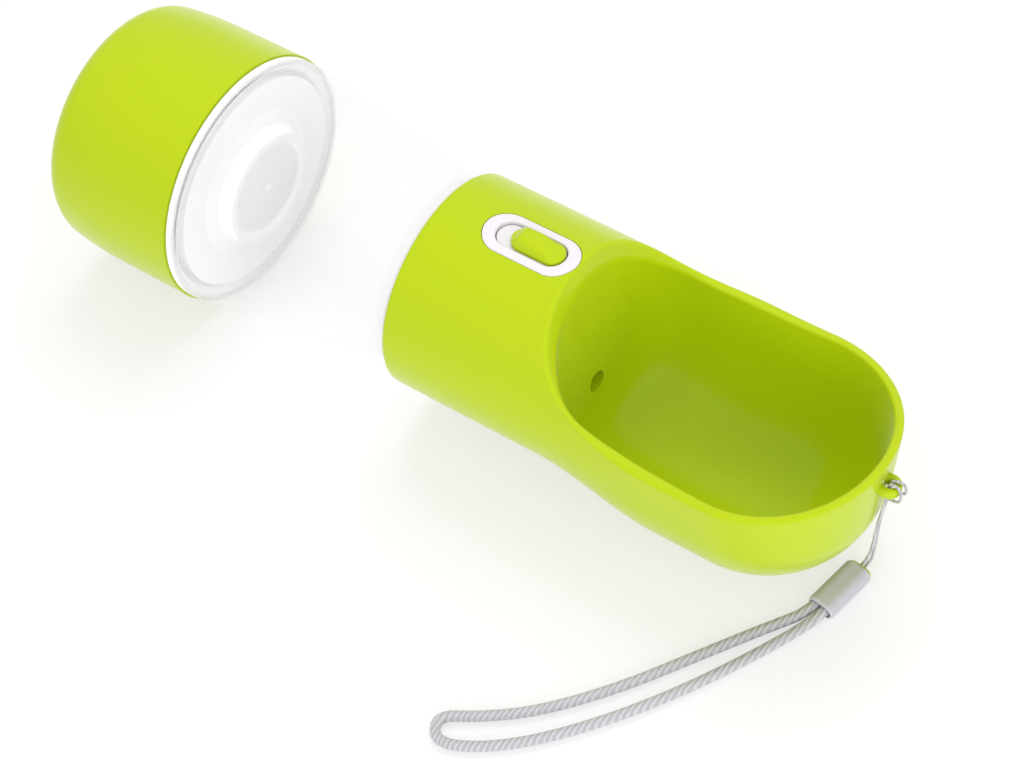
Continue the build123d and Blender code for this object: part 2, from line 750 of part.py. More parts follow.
foot_groove_width = tongue_foot_width + tongue_fit
carrier_socket = stem_radius - stem_step + face_gap
socket_foot = valve_top + press_travel + 2 * running_gap
with BuildPart() as button_carrier:
    with BuildSketch(Plane.XY.offset(axis_z + carrier_foot)):
        with Locations((x_bezel, 0)):
            RectangleRounded(carrier_length, carrier_width, 2)
    extrude(amount=carrier_plate)
    add(slot_block(slot_length - slot_play, slot_width - slot_play, carrier_foot, track_top, x_bezel))
    add(stem_band(socket_foot, carrier_foot, 0, carrier_socket + carrier_socket_wall))
    add(stem_band(0, stem_top + face_gap, 0, carrier_socket), mode=Mode.SUBTRACT)
    add(bar(groove_length, tongue_width + tongue_fit, neck_foot, above_skin, groove_x), mode=Mode.SUBTRACT)
    add(
        bar(groove_length, foot_groove_width, tongue_end - bezel_fit, neck_foot + bezel_fit, groove_x),
        mode=Mode.SUBTRACT,
    )
button_carrier.part.label = "button_carrier"


# ---------------------------------------------------------------- strap
def soft_corners(points, largest):
    """Corner radii for a cord's route: 0.45 of the shorter run next to each corner."""
    radii = []
    for before, here, after in zip(points, points[1:], points[2:]):
        run_in = (Vector(*here) - Vector(*before)).length
        run_out = (Vector(*after) - Vector(*here)).length
        turn = (Vector(*here) - Vector(*before)).get_angle(Vector(*after) - Vector(*here))
        radii.append(min(largest, 0.45 * min(run_in, run_out) / math.tan(math.radians(turn / 2))))
    return radii


def from_tip(x, y, z):
    """Point given from the bowl's tip along the bottle, and from the bottle's axis in height."""
    return (x_tip + x, y, axis_z + z)


string_lie = -axis_z + clamp_thickness / 2
string_left_foot = [
    from_tip(-4.8, -5.3, string_lie),
    from_tip(-3.8, 1.2, string_lie),
    from_tip(-2.4, 0.6, string_lie + 4.9),
    from_tip(-1.1, -0.35, string_lie + 12.0),
]
string_right_foot = [
    from_tip(-3.8, -5.4, string_lie),
    from_tip(-2.75, 1.4, string_lie),
    from_tip(-1.3, 1.1, string_lie + 4.9),
    from_tip(-0.8, 0.5, string_lie + 12.0),
]
string_left = [
    from_tip(-0.6, -0.5, string_lie + 22.0),
    from_tip(0.5, -0.5, -3.0),
    from_tip(lug_reach - lug_radius, -0.5, lug_height - 0.5),
    from_tip(lug_reach - lug_radius + 0.3, -0.55, lug_height + 2.3),
    from_tip(lug_reach + 0.7, -1.1, lug_height + 2.3),
    from_tip(lug_reach + 0.9, -1.5, lug_height - 2.4),
    from_tip(2.0, -1.6, lug_height - 2.7),
    from_tip(-0.05, -1.1, lug_height - 3.0),
]
string_right = []
for x, y, z in reversed(string_left):
    string_right.append((x, -y, z))
string_route = string_left_foot + string_left + string_right + string_right_foot[::-1]
string_radii = soft_corners(string_route, 12)
with BuildPart() as string_loop:
    with BuildLine() as string_path:
        FilletPolyline(*string_route, radius=string_radii)
    with BuildSketch(Plane(origin=string_path.line @ 0, z_dir=string_path.line % 0)):
        Circle(string_diameter / 2)
    sweep(path=string_path.line)
string_loop.part.label = "string_loop"

clamp_top = Vector(x_tip - 3.6, -0.9, axis_z + string_lie)
clamp_heading = Vector(-2.5, -15.8, 0).normalized()
clamp_plane = Plane(origin=clamp_top, x_dir=(0, 0, 1), z_dir=clamp_heading)
strap_bore_width = 2 * strap_diameter + 1.0
strap_bore_height = strap_diameter + 0.7
with BuildPart() as strap_clamp:
    with BuildSketch(clamp_plane):
        SlotOverall(clamp_width, clamp_thickness, rotation=90)
    extrude(amount=clamp_length)
    ends = strap_clamp.edges().filter_by(lambda edge: edge.length > 1)
    fillet([edge for edge in ends if abs((edge % 0.5).dot(clamp_heading)) < 0.5], clamp_round)
    with BuildSketch(clamp_plane.offset(-1)):
        SlotOverall(strap_bore_width, strap_bore_height, rotation=90)
    extrude(amount=clamp_length + 2, mode=Mode.SUBTRACT)
strap_clamp.part.label = "strap_clamp"

with BuildPart() as clamp_insert:
    with BuildSketch(clamp_plane.offset(-0.5)):
        SlotOverall(strap_bore_width - 0.1, strap_bore_height - 0.1, rotation=90)
        SlotOverall(3.6, 1.8, rotation=90, mode=Mode.SUBTRACT)
    extrude(amount=clamp_insert_length)
clamp_insert.part.label = "clamp_insert"

strap_lie = -axis_z + strap_diameter / 2 + 2 * face_gap
strap_route = [
    from_tip(-6.28, -8.57, string_lie),
    from_tip(-7.9, -19.0, string_lie),
    from_tip(-13.6, -26.4, strap_lie),
    from_tip(-24.5, -44.2, strap_lie),
    from_tip(-36.0, -63.2, strap_lie),
    from_tip(-48.9, -79.6, strap_lie),
    from_tip(-60.1, -89.0, strap_lie),
    from_tip(-69.7, -94.6, strap_lie),
    from_tip(-65.4, -101.2, strap_lie),
    from_tip(-55.3, -96.3, strap_lie),
    from_tip(-44.3, -86.4, strap_lie),
    from_tip(-31.6, -70.0, strap_lie),
    from_tip(-20.2, -51.2, strap_lie),
    from_tip(-9.6, -29.5, strap_lie),
    from_tip(-4.9, -18.4, string_lie),
    from_tip(-3.42, -9.03, string_lie),
]
strap_radii = soft_corners(strap_route, 60)
with BuildPart() as wrist_loop:
    with BuildLine() as strap_path:
        FilletPolyline(*strap_route, radius=strap_radii)
    with BuildSketch(Plane(origin=strap_path.line @ 0, z_dir=strap_path.line % 0)):
        Circle(strap_diameter / 2)
    sweep(path=strap_path.line)
wrist_loop.part.label = "wrist_loop"

os.makedirs("parts", exist_ok=True)
export_step(food_cup.part, "parts/food_cup.step")
export_step(cup_seal.part, "parts/cup_seal.step")
export_step(bottle.part, "parts/bottle.step")
export_step(neck_gasket.part, "parts/neck_gasket.step")
export_step(neck_collar.part, "parts/neck_collar.step")
export_step(deck_seal.part, "parts/deck_seal.step")
export_step(head_shell.part, "parts/head_shell.step")
export_step(valve_body.part, "parts/valve_body.step")
export_step(spring_cap.part, "parts/spring_cap.step")
export_step(valve_stem.part, "parts/valve_stem.step")
export_step(stem_sleeve.part, "parts/stem_sleeve.step")
export_step(stem_seal.part, "parts/stem_seal.step")
export_step(return_spring.part, "parts/return_spring.step")
export_step(inlet_seal.part, "parts/inlet_seal.step")
export_step(outlet_nozzle.part, "parts/outlet_nozzle.step")
export_step(outlet_seal.part, "parts/outlet_seal.step")
export_step(valve_screws.part, "parts/valve_screws.step")
export_step(thumb_button.part, "parts/thumb_button.step")
export_step(button_bezel.part, "parts/button_bezel.step")
export_step(button_carrier.part, "parts/button_carrier.step")
export_step(string_loop.part, "parts/string_loop.step")
export_step(strap_clamp.part, "parts/strap_clamp.step")
export_step(clamp_insert.part, "parts/clamp_insert.step")
export_step(wrist_loop.part, "parts/wrist_loop.step")

string_length = sum(edge.length for edge in string_path.edges())
strap_length = sum(edge.length for edge in strap_path.edges())
string_volume = string_length * math.pi * string_diameter**2 / 4
strap_volume = strap_length * math.pi * strap_diameter**2 / 4
print("string length", round(string_length, 1), "arc radii", [round(r, 2) for r in string_radii])
print("string volume", round(string_loop.part.volume, 2), "of", round(string_volume, 2))
print("strap length", round(strap_length, 1), "arc radii", [round(r, 1) for r in strap_radii])
print("strap volume", round(wrist_loop.part.volume), "of", round(strap_volume))
print("spring's least gap between turns", round(spring_pitch - spring_wire, 2))
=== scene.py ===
# %% [markdown]
# # A dog's travel water bottle
# The bottle lies on its back on a pale table, with its scoop-shaped bowl open to the top. It is a
# green food cup, a clear body, a green head with a thumb button, and a strap on a thin string.
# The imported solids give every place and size. This file gives them their looks: it keeps the solids
# whose shape is already right, and makes new surfaces for those that need softer edges.

# %% Load the frame
import json
import math

import bmesh
import bpy
import numpy as np
from mathutils import Matrix, Vector


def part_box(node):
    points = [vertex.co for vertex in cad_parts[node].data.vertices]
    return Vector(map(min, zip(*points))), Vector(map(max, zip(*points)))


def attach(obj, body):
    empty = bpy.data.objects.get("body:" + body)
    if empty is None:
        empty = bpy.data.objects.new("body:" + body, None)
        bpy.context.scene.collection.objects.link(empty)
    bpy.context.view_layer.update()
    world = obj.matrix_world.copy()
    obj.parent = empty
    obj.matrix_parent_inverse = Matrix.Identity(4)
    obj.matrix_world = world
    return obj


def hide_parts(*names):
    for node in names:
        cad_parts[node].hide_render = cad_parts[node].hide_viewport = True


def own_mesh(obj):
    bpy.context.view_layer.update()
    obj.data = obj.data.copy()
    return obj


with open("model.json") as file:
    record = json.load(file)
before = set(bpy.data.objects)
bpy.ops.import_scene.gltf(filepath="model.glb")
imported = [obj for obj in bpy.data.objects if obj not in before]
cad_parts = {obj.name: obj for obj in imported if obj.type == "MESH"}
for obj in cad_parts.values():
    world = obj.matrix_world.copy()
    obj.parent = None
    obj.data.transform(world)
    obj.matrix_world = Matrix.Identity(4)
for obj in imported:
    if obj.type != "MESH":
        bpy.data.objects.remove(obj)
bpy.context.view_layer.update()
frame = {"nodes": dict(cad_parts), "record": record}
MM = 0.001

# %% [markdown]
# ## Stations
# The real object has one axis that nearly everything is turned on, so a few stations along it place
# every piece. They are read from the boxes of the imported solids, and the rest are the same driving
# sizes that the solids use, in metres.

# %% Stations along the bottle
cup_low, cup_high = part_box("food_cup")
head_low, head_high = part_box("head_shell")
AXIS_Z = (cup_low[2] + cup_high[2]) / 2
MOUTH_GAP = 0.25 * MM        # room between the cup's mouth and the clear body
X_JOINT = cup_high[0] + MOUTH_GAP
X_HEAD = head_low[0]
LUG_REACH = 4.2 * MM
X_TIP = head_high[0] - LUG_REACH
BOWL_DEPTH = AXIS_Z
print("axis height", round(AXIS_Z, 4), "joint", round(X_JOINT, 4))
print("head from", round(X_HEAD, 4), "to", round(X_TIP, 4))


# %% [markdown]
# ## Camera
# The photograph looks down on the bottle from beyond its side, from rather near, so the far end
# of the bottle looks smaller. The camera is a real place and three directions in the object's own
# frame. The three directions make the turn of the camera: right, up and backwards.

# %% Camera
scene = bpy.context.scene
camera_data = bpy.data.cameras.new("camera")
camera = bpy.data.objects.new("camera", camera_data)
scene.collection.objects.link(camera)
scene.camera = camera
CAMERA_PLACE = (X_JOINT + 340.6 * MM, -338.0 * MM, AXIS_Z + 496.8 * MM)
CAMERA_RIGHT = Vector((0.8240, 0.5655, -0.0359)).normalized()
CAMERA_AHEAD = Vector((-0.3764, 0.4989, -0.7806)).normalized()
CAMERA_UP = CAMERA_RIGHT.cross(CAMERA_AHEAD)
camera.matrix_world = Matrix.Translation(CAMERA_PLACE) @ Matrix(
    (CAMERA_RIGHT, CAMERA_UP, -CAMERA_AHEAD)
).transposed().to_4x4()
FILM_WIDTH, LENS_LENGTH = 36, 87.9
NEAREST, FURTHEST = 0.05, 20
camera_data.sensor_width = FILM_WIDTH
camera_data.lens = LENS_LENGTH
camera_data.clip_start = NEAREST
camera_data.clip_end = FURTHEST
print("lens", camera_data.lens)


# %% [markdown]
# ## Strap and string
# The wrist strap is one soft round cord whose two ends go into a clamp, and a thin string ties the
# clamp to the lug. Each is laid out by a few points, as a hand would lay it, and a NURBS spline
# draws one smooth line from them. Its order is set after the points, because Blender limits the
# order to the number of points that are there. The strap's material is made here, before the cords,
# so that each cord has it from the start, and the materials step below fills it in.

# %% Routes of the string and the strap
STRING_DIAMETER = 0.8 * MM
STRAP_DIAMETER = 2.8 * MM
STRING_LIE = -AXIS_Z + 2.6 * MM     # where the string lies, up from the axis
STRAP_LIE = -AXIS_Z + 1.5 * MM


def from_tip(x, y, z):
    """A point in metres: x and y in millimetres from the bowl's tip, z in metres from the axis."""
    return (X_TIP + x * MM, y * MM, AXIS_Z + z)


LUG_HEIGHT = 4.6 * MM
STRING_HALF = [
    from_tip(-0.6, -0.5, STRING_LIE + 22.0 * MM),
    from_tip(0.5, -0.5, -3.0 * MM),
    from_tip(1.0, -0.5, LUG_HEIGHT - 0.5 * MM),
    from_tip(1.3, -0.55, LUG_HEIGHT + 2.3 * MM),
    from_tip(4.9, -1.1, LUG_HEIGHT + 2.3 * MM),
    from_tip(5.1, -1.5, LUG_HEIGHT - 2.4 * MM),
    from_tip(2.0, -1.6, LUG_HEIGHT - 2.7 * MM),
    from_tip(-0.05, -1.1, LUG_HEIGHT - 3.0 * MM),
]
STRING_ROUTE = (
    [
        from_tip(-4.8, -5.3, STRING_LIE),
        from_tip(-3.8, 1.2, STRING_LIE),
        from_tip(-2.4, 0.6, STRING_LIE + 4.9 * MM),
        from_tip(-1.1, -0.35, STRING_LIE + 12.0 * MM),
    ]
    + STRING_HALF
    + [(x, -y, z) for x, y, z in reversed(STRING_HALF)]
    + [
        from_tip(-0.8, 0.5, STRING_LIE + 12.0 * MM),
        from_tip(-1.3, 1.1, STRING_LIE + 4.9 * MM),
        from_tip(-2.75, 1.4, STRING_LIE),
        from_tip(-3.8, -5.4, STRING_LIE),
    ]
)
STRAP_ROUTE = [
    from_tip(-6.28, -8.57, STRING_LIE),
    from_tip(-7.9, -19.0, STRING_LIE),
    from_tip(-13.6, -26.4, STRAP_LIE),
    from_tip(-24.5, -44.2, STRAP_LIE),
    from_tip(-36.0, -63.2, STRAP_LIE),
    from_tip(-48.9, -79.6, STRAP_LIE),
    from_tip(-60.1, -89.0, STRAP_LIE),
    from_tip(-69.7, -94.6, STRAP_LIE),
    from_tip(-65.4, -101.2, STRAP_LIE),
    from_tip(-55.3, -96.3, STRAP_LIE),
    from_tip(-44.3, -86.4, STRAP_LIE),
    from_tip(-31.6, -70.0, STRAP_LIE),
    from_tip(-20.2, -51.2, STRAP_LIE),
    from_tip(-9.6, -29.5, STRAP_LIE),
    from_tip(-4.9, -18.4, STRING_LIE),
    from_tip(-3.42, -9.03, STRING_LIE),
]


BRAID = bpy.data.materials.new("grey braided cord")


def cord(name, route, diameter):
    """A round cord along one NURBS spline whose control points are the route."""
    data = bpy.data.curves.new(name, "CURVE")
    data.dimensions = "3D"
    data.bevel_depth = diameter / 2
    data.bevel_resolution = 5
    data.resolution_u = 10
    data.use_fill_caps = True
    data.materials.append(BRAID)
    spline = data.splines.new("NURBS")
    spline.points.add(len(route) - 1)
    for point, place in zip(spline.points, route):
        point.co = (*place, 1)
    spline.order_u = 3
    spline.use_endpoint_u = True
    piece = bpy.data.objects.new(name, data)
    scene.collection.objects.link(piece)
    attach(piece, "head")
    return piece


# %% Make the string and the strap
string = cord("lug_string", STRING_ROUTE, STRING_DIAMETER)
strap = cord("wrist_strap", STRAP_ROUTE, STRAP_DIAMETER)
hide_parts("string_loop")
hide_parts("wrist_loop")
print("string points", len(STRING_ROUTE), "strap points", len(STRAP_ROUTE))


# %% [markdown]
# ## Materials
# Moulded plastic is never one flat colour: its gloss wanders a little where the mould was polished,
# and fine dust and handling marks dull it. Both are small effects that every plastic here shares,
# so they are one shader group, placed in each material with its own strengths.

# %% Shared surface wander
SLOW_SCALE, FINE_SCALE = 60, 1500      # repeats per metre
NOISE_DETAIL = 2


def noise(nodes, scale, at):
    """A noise texture at a scale in repeats per metre."""
    texture = nodes.new("ShaderNodeTexNoise")
    texture.inputs["Scale"].default_value = scale
    texture.inputs["Detail"].default_value = NOISE_DETAIL
    texture.location = at
    return texture


def math_node(nodes, operation, at, value=None):
    """A math node, with its second value if one is given."""
    node = nodes.new("ShaderNodeMath")
    node.operation = operation
    node.location = at
    if value is not None:
        node.inputs[1].default_value = value
    return node


def make_wander_group():
    """A group that gives a roughness and a height which wander slowly, with fine grain on top."""
    group = bpy.data.node_groups.new("moulded surface", "ShaderNodeTree")
    for name, kind, start in (
        ("Vector", "NodeSocketVector", None),
        ("Roughness", "NodeSocketFloat", 0.2),
        ("Wander", "NodeSocketFloat", 0.05),
        ("Grain", "NodeSocketFloat", 0.02),
        ("Grain Scale", "NodeSocketFloat", FINE_SCALE),
    ):
        socket = group.interface.new_socket(name=name, in_out="INPUT", socket_type=kind)
        if start is not None:
            socket.default_value = start
    group.interface.new_socket(name="Roughness", in_out="OUTPUT", socket_type="NodeSocketFloat")
    group.interface.new_socket(name="Height", in_out="OUTPUT", socket_type="NodeSocketFloat")
    nodes, links = group.nodes, group.links
    start = nodes.new("NodeGroupInput")
    end = nodes.new("NodeGroupOutput")
    end.location = (900, 0)
    slow = noise(nodes, SLOW_SCALE, (200, 200))
    fine = noise(nodes, FINE_SCALE, (200, -200))
    links.new(start.outputs["Vector"], slow.inputs["Vector"])
    links.new(start.outputs["Vector"], fine.inputs["Vector"])
    links.new(start.outputs["Grain Scale"], fine.inputs["Scale"])
    centred = math_node(nodes, "SUBTRACT", (380, 200), 0.5)
    scaled = math_node(nodes, "MULTIPLY", (540, 200))
    total = math_node(nodes, "ADD", (700, 200))
    links.new(slow.outputs["Fac"], centred.inputs[0])
    links.new(centred.outputs[0], scaled.inputs[0])
    links.new(start.outputs["Wander"], scaled.inputs[1])
    links.new(scaled.outputs[0], total.inputs[0])
    links.new(start.outputs["Roughness"], total.inputs[1])
    links.new(total.outputs[0], end.inputs["Roughness"])
    height = math_node(nodes, "MULTIPLY", (540, -200))
    links.new(fine.outputs["Fac"], height.inputs[0])
    links.new(start.outputs["Grain"], height.inputs[1])
    links.new(height.outputs[0], end.inputs["Height"])
    return group


WANDER = make_wander_group()
print("shader group:", WANDER.name)


# %% A plastic that uses the group
GLOSS_WANDER = 0.04
GRAIN_DEPTH = 0.02 * MM


def plastic(name, color, roughness, grain=0.1, grain_scale=FINE_SCALE, coat=0.0):
    """A moulded plastic whose gloss and grain come from the shared group."""
    material = bpy.data.materials.new(name)
    material.use_nodes = True
    nodes, links = material.node_tree.nodes, material.node_tree.links
    shader = nodes["Principled BSDF"]
    shader.inputs["Base Color"].default_value = (*color, 1)
    shader.inputs["Coat Weight"].default_value = coat
    shader.inputs["Coat Roughness"].default_value = 0.05
    place = nodes.new("ShaderNodeTexCoord")
    place.location = (-900, 0)
    surface = nodes.new("ShaderNodeGroup")
    surface.node_tree = WANDER
    surface.location = (-650, 0)
    surface.inputs["Roughness"].default_value = roughness
    surface.inputs["Wander"].default_value = GLOSS_WANDER
    surface.inputs["Grain"].default_value = grain
    surface.inputs["Grain Scale"].default_value = grain_scale
    links.new(place.outputs["Object"], surface.inputs["Vector"])
    links.new(surface.outputs["Roughness"], shader.inputs["Roughness"])
    height = nodes.new("ShaderNodeBump")
    height.location = (-350, -250)
    height.inputs["Strength"].default_value = 0.5
    height.inputs["Distance"].default_value = GRAIN_DEPTH
    links.new(surface.outputs["Height"], height.inputs["Height"])
    links.new(height.outputs["Normal"], shader.inputs["Normal"])
    return material


# %% Plastics, rubber and steel
GREEN = plastic("glossy green plastic", (0.475, 0.605, 0.003), 0.3, coat=0.12)
GREEN_SHADER = GREEN.node_tree.nodes["Principled BSDF"]
GREEN_SHADER.inputs["Specular IOR Level"].default_value = 0.22
GREEN_SHADER.inputs["Sheen Weight"].default_value = 0.16
GREEN_SHADER.inputs["Sheen Roughness"].default_value = 0.3
WHITE = plastic("white satin plastic", (0.80, 0.77, 0.81), 0.38)
RUBBER = plastic("pale silicone", (0.88, 0.88, 0.88), 0.55)
GREY = plastic("grey clamp plastic", (0.56, 0.54, 0.59), 0.5, grain=0.4, grain_scale=900)
STEEL = plastic("spring steel", (0.6, 0.6, 0.62), 0.25)
STEEL.node_tree.nodes["Principled BSDF"].inputs["Metallic"].default_value = 1.0
print("plastics and steel:", ", ".join(made.name for made in (GREEN, WHITE, RUBBER, GREY, STEEL)))


# %% [markdown]
# Clear plastic this thin bends light very little, so a see-through shader with gloss on top gives
# the real look without tracing bent rays: it is clear where it faces the eye, and shows the sky's
# reflection and a faint grey at its edges, where the eye looks along the wall. The raised floor is
# frosted round a clearer disc, and shadows pass through, as they do through a thin clear wall.

# %% Clear plastic
EDGE_BLEND = 0.3
WALL_CLEAR, WALL_EDGE = 0.04, 0.32      # how solid a wall looks, face on and edge on
FROST_ENDS = (X_JOINT + 1.0 * MM, X_JOINT + 3.0 * MM)
FLOOR_RADII = (29 * MM, 31 * MM)
FLOOR_REACH = 7 * MM                    # how far the floor stands up past the cup's mouth
DISC_RADII = (12.6 * MM, 13.8 * MM)
DISC_SOLID, FROST_SOLID = 0.80, 0.93


def map_range(nodes, at, ends, results, soft=False):
    """A node that maps the range between two ends on to two results, with soft ends if asked."""
    node = nodes.new("ShaderNodeMapRange")
    node.location = at
    if soft:
        node.interpolation_type = "SMOOTHSTEP"
    for name, value in zip(("From Min", "From Max", "To Min", "To Max"), (*ends, *results)):
        node.inputs[name].default_value = value
    return node


def axis_distance(nodes, links, place):
    """The length of (0, y, z - axis height): how far a point is from the bottle's axis."""
    centred = nodes.new("ShaderNodeVectorMath")
    centred.operation = "MULTIPLY_ADD"
    centred.inputs[1].default_value = (0, 1, 1)
    centred.inputs[2].default_value = (0, 0, -AXIS_Z)
    centred.location = (-1100, -350)
    links.new(place.outputs["Object"], centred.inputs[0])
    radius = nodes.new("ShaderNodeVectorMath")
    radius.operation = "LENGTH"
    radius.location = (-900, -350)
    links.new(centred.outputs[0], radius.inputs[0])
    return radius.outputs["Value"]


def make_clear():
    """Clear polymer: see-through where it faces the eye, and a frosted floor round a middle disc.

    The frost is a mask on Object coordinates: 1 from the cup's mouth back and over the raised floor
    inside the wall, 0 along the clear body. The disc is a mask on the distance from the axis.
    """
    material = bpy.data.materials.new("clear bottle plastic")
    material.use_nodes = True
    nodes, links = material.node_tree.nodes, material.node_tree.links
    shader = nodes["Principled BSDF"]
    shader.inputs["Base Color"].default_value = (0.94, 0.95, 0.95, 1)
    shader.inputs["Roughness"].default_value = 0.08
    facing = nodes.new("ShaderNodeLayerWeight")
    facing.inputs["Blend"].default_value = EDGE_BLEND
    facing.location = (-900, 100)
    wall = map_range(nodes, (-700, 100), (0, 1), (WALL_CLEAR, WALL_EDGE))
    links.new(facing.outputs["Facing"], wall.inputs["Value"])
    place = nodes.new("ShaderNodeTexCoord")
    place.location = (-1300, -200)
    parts = nodes.new("ShaderNodeSeparateXYZ")
    parts.location = (-1100, -100)
    links.new(place.outputs["Object"], parts.inputs["Vector"])
    radius = axis_distance(nodes, links, place)
    inner = map_range(nodes, (-1100, -550), FLOOR_RADII, (FLOOR_REACH, 0.0))
    links.new(radius, inner.inputs["Value"])
    shifted = math_node(nodes, "SUBTRACT", (-1000, 0))
    links.new(parts.outputs["X"], shifted.inputs[0])
    links.new(inner.outputs["Result"], shifted.inputs[1])
    frost = map_range(nodes, (-900, -100), FROST_ENDS, (1.0, 0.0), soft=True)
    links.new(shifted.outputs[0], frost.inputs["Value"])
    disc = map_range(nodes, (-700, -350), DISC_RADII, (DISC_SOLID, FROST_SOLID), soft=True)
    links.new(radius, disc.inputs["Value"])
    cloud = nodes.new("ShaderNodeMix")
    cloud.location = (-450, 0)
    links.new(frost.outputs["Result"], cloud.inputs["Factor"])
    links.new(wall.outputs["Result"], cloud.inputs["A"])
    links.new(disc.outputs["Result"], cloud.inputs["B"])
    path = nodes.new("ShaderNodeLightPath")
    path.location = (-700, 400)
    unshaded = math_node(nodes, "SUBTRACT", (-450, 300))
    unshaded.inputs[0].default_value = 1.0
    links.new(path.outputs["Is Shadow Ray"], unshaded.inputs[1])
    alpha = math_node(nodes, "MULTIPLY", (-220, 150))
    links.new(cloud.outputs["Result"], alpha.inputs[0])
    links.new(unshaded.outputs[0], alpha.inputs[1])
    links.new(alpha.outputs[0], shader.inputs["Alpha"])
    return material


CLEAR = make_clear()
print("clear material has", len(CLEAR.node_tree.nodes), "nodes")


# %% [markdown]
# The strap is a braided cord. Its weave shows as slanting ribs, and one wave drives both a fine bump
# and a painted shade: the colour is paler on the crests and darker between them, where shade falls.

# %% Braided cord
RIB_SCALE = 260              # waves per metre, before the texture's own factor
RIB_DEPTH = 0.2 * MM


def fill_braid(material):
    """A braided cord: slanting ribs from a wave on Object coordinates, as a fine bump and as painted
    shade.
    """
    material.use_nodes = True
    nodes, links = material.node_tree.nodes, material.node_tree.links
    shader = nodes["Principled BSDF"]
    shader.inputs["Roughness"].default_value = 0.8
    shader.inputs["Sheen Weight"].default_value = 0.3
    place = nodes.new("ShaderNodeTexCoord")
    ribs = nodes.new("ShaderNodeTexWave")
    ribs.inputs["Scale"].default_value = RIB_SCALE
    ribs.inputs["Distortion"].default_value = 2.5
    ribs.inputs["Detail"].default_value = 2
    links.new(place.outputs["Object"], ribs.inputs["Vector"])
    # Painted shade and light: the wave darkens the colour between the ribs and lightens it on their
    # crests.
    rib_crest_and_groove_shade = nodes.new("ShaderNodeMix")
    rib_crest_and_groove_shade.data_type = "RGBA"
    rib_crest_and_groove_shade.inputs["A"].default_value = (0.44, 0.43, 0.46, 1)
    rib_crest_and_groove_shade.inputs["B"].default_value = (0.62, 0.60, 0.64, 1)
    links.new(ribs.outputs["Fac"], rib_crest_and_groove_shade.inputs["Factor"])
    links.new(rib_crest_and_groove_shade.outputs["Result"], shader.inputs["Base Color"])
    height = nodes.new("ShaderNodeBump")
    height.inputs["Distance"].default_value = RIB_DEPTH
    links.new(ribs.outputs["Fac"], height.inputs["Height"])
    links.new(height.outputs["Normal"], shader.inputs["Normal"])


fill_braid(BRAID)
print("braid has", len(BRAID.node_tree.nodes), "nodes")

# %% Give each kept solid its material
FINISHES = {
    "green_plastic": GREEN,
    "clear_plastic": CLEAR,
    "white_plastic": WHITE,
    "silicone": RUBBER,
    "spring_steel": STEEL,
    "strap_cord": BRAID,
    "clamp_plastic": GREY,
}
for entry in frame["record"]["subparts"]:
    solid = frame["nodes"][entry["node"]]
    for holder in solid.material_slots:
        holder.material = FINISHES[entry["material_slot"]]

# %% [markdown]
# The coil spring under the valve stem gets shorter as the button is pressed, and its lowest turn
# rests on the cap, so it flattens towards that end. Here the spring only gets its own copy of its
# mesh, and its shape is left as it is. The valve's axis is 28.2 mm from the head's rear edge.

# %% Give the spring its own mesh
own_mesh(frame["nodes"]["return_spring"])

# %% [markdown]
# ## Green head
# The head is the piece that the eye goes to: a round barrel that swells into a scoop-shaped bowl,
# with a soft full rim, a bowed rear wall that melts into the floor, and a flat land round the back
# of the rim. It is one closed skin. Two fields say where the plastic is: one for the outside and
# one for the cavity. Each row of the skin is found by walking along straight rays to where a field
# changes sign, so walls, corners and floor meet softly with no seam between them.
# A subdivided cage or a loft through a few sections would be shorter to write, but a cage dents
# where its rings meet the round barrel, and a loft leaves the rim as a hard edge.
# Sizes here are in millimetres, along the bottle from the head's rear edge and up from its axis.

# %% Sizes of the head
BARREL = 30.3                           # the barrel's outer radius
HEAD_WALL = 2.5
PARTITION = 2.6
TIP = (X_TIP - X_HEAD) / MM
BOWL_ROUND = 31.8                       # radius of the bowl's back and of its tip in plan
BOWL_START, BOWL_FULL = 45.2, 81.2      # where the section starts to change, and has changed
BOWL_WALL, WALL_LOSS = 3.4, 0.9         # the wall gets thinner by this towards the tip
THINNING, THINNING_RUN = 70.0, 40.0
SPINE_BACK = 66.0                       # where the columns of the rear fan meet
SPINE_FRONT = TIP - BOWL_ROUND - 1.2
REAR_WALL, REAR_BOW = 45.5, 110.0       # the rear wall's place and the radius of its bow in plan
BOW_LIMIT = 40.0                        # half width up to which the bow is worked out
REAR_LEAN = math.tan(math.radians(4.6))
SIDE_LEAN = math.tan(math.radians(2.9))
SIDE_TURN, SIDE_TURN_LOSS = 20, 15      # degrees below level where a side leaves the round back
OUTSIDE_TOP, OUTSIDE_TOP_WIDTH = 26.0, 15.56
CAVITY_TOP, CAVITY_TOP_WIDTH = 31.0, 14.0
CORNER_REACH = 12.7                     # how far the soft corner of floor and rear wall reaches
RIM_ROUND = 1.3
RIM_HEIGHT = 7.0
BACK_RISE, BACK_RISE_AT, BACK_RISE_RUN = 21.9, 41.9, 10.0
TIP_RISE = 5.6
LAND_RISE, LAND_DIP, LAND_HALF = 0.7, 2.2, 11.7
LAND_FADE_AT, LAND_FADE_RUN = 52.0, 22.0
print("head is", round(TIP, 1), "mm long, its bowl", round(2 * BOWL_ROUND, 1), "mm wide")


def smooth(share):
    """Smooth step 3t^2 - 2t^3 from 0 to 1, held outside that range."""
    t = np.clip(share, 0, 1)
    return t * t * (3 - 2 * t)


def rim_level(s):
    """Height of the rim: level sides, plus an exponential at the back and a power at the tip."""
    along = np.clip((s - BOWL_START) / (TIP - BOWL_START), 0, 1)
    at_back = BACK_RISE * np.exp(-(s - BACK_RISE_AT) / BACK_RISE_RUN)
    return RIM_HEIGHT + at_back + TIP_RISE * along**5


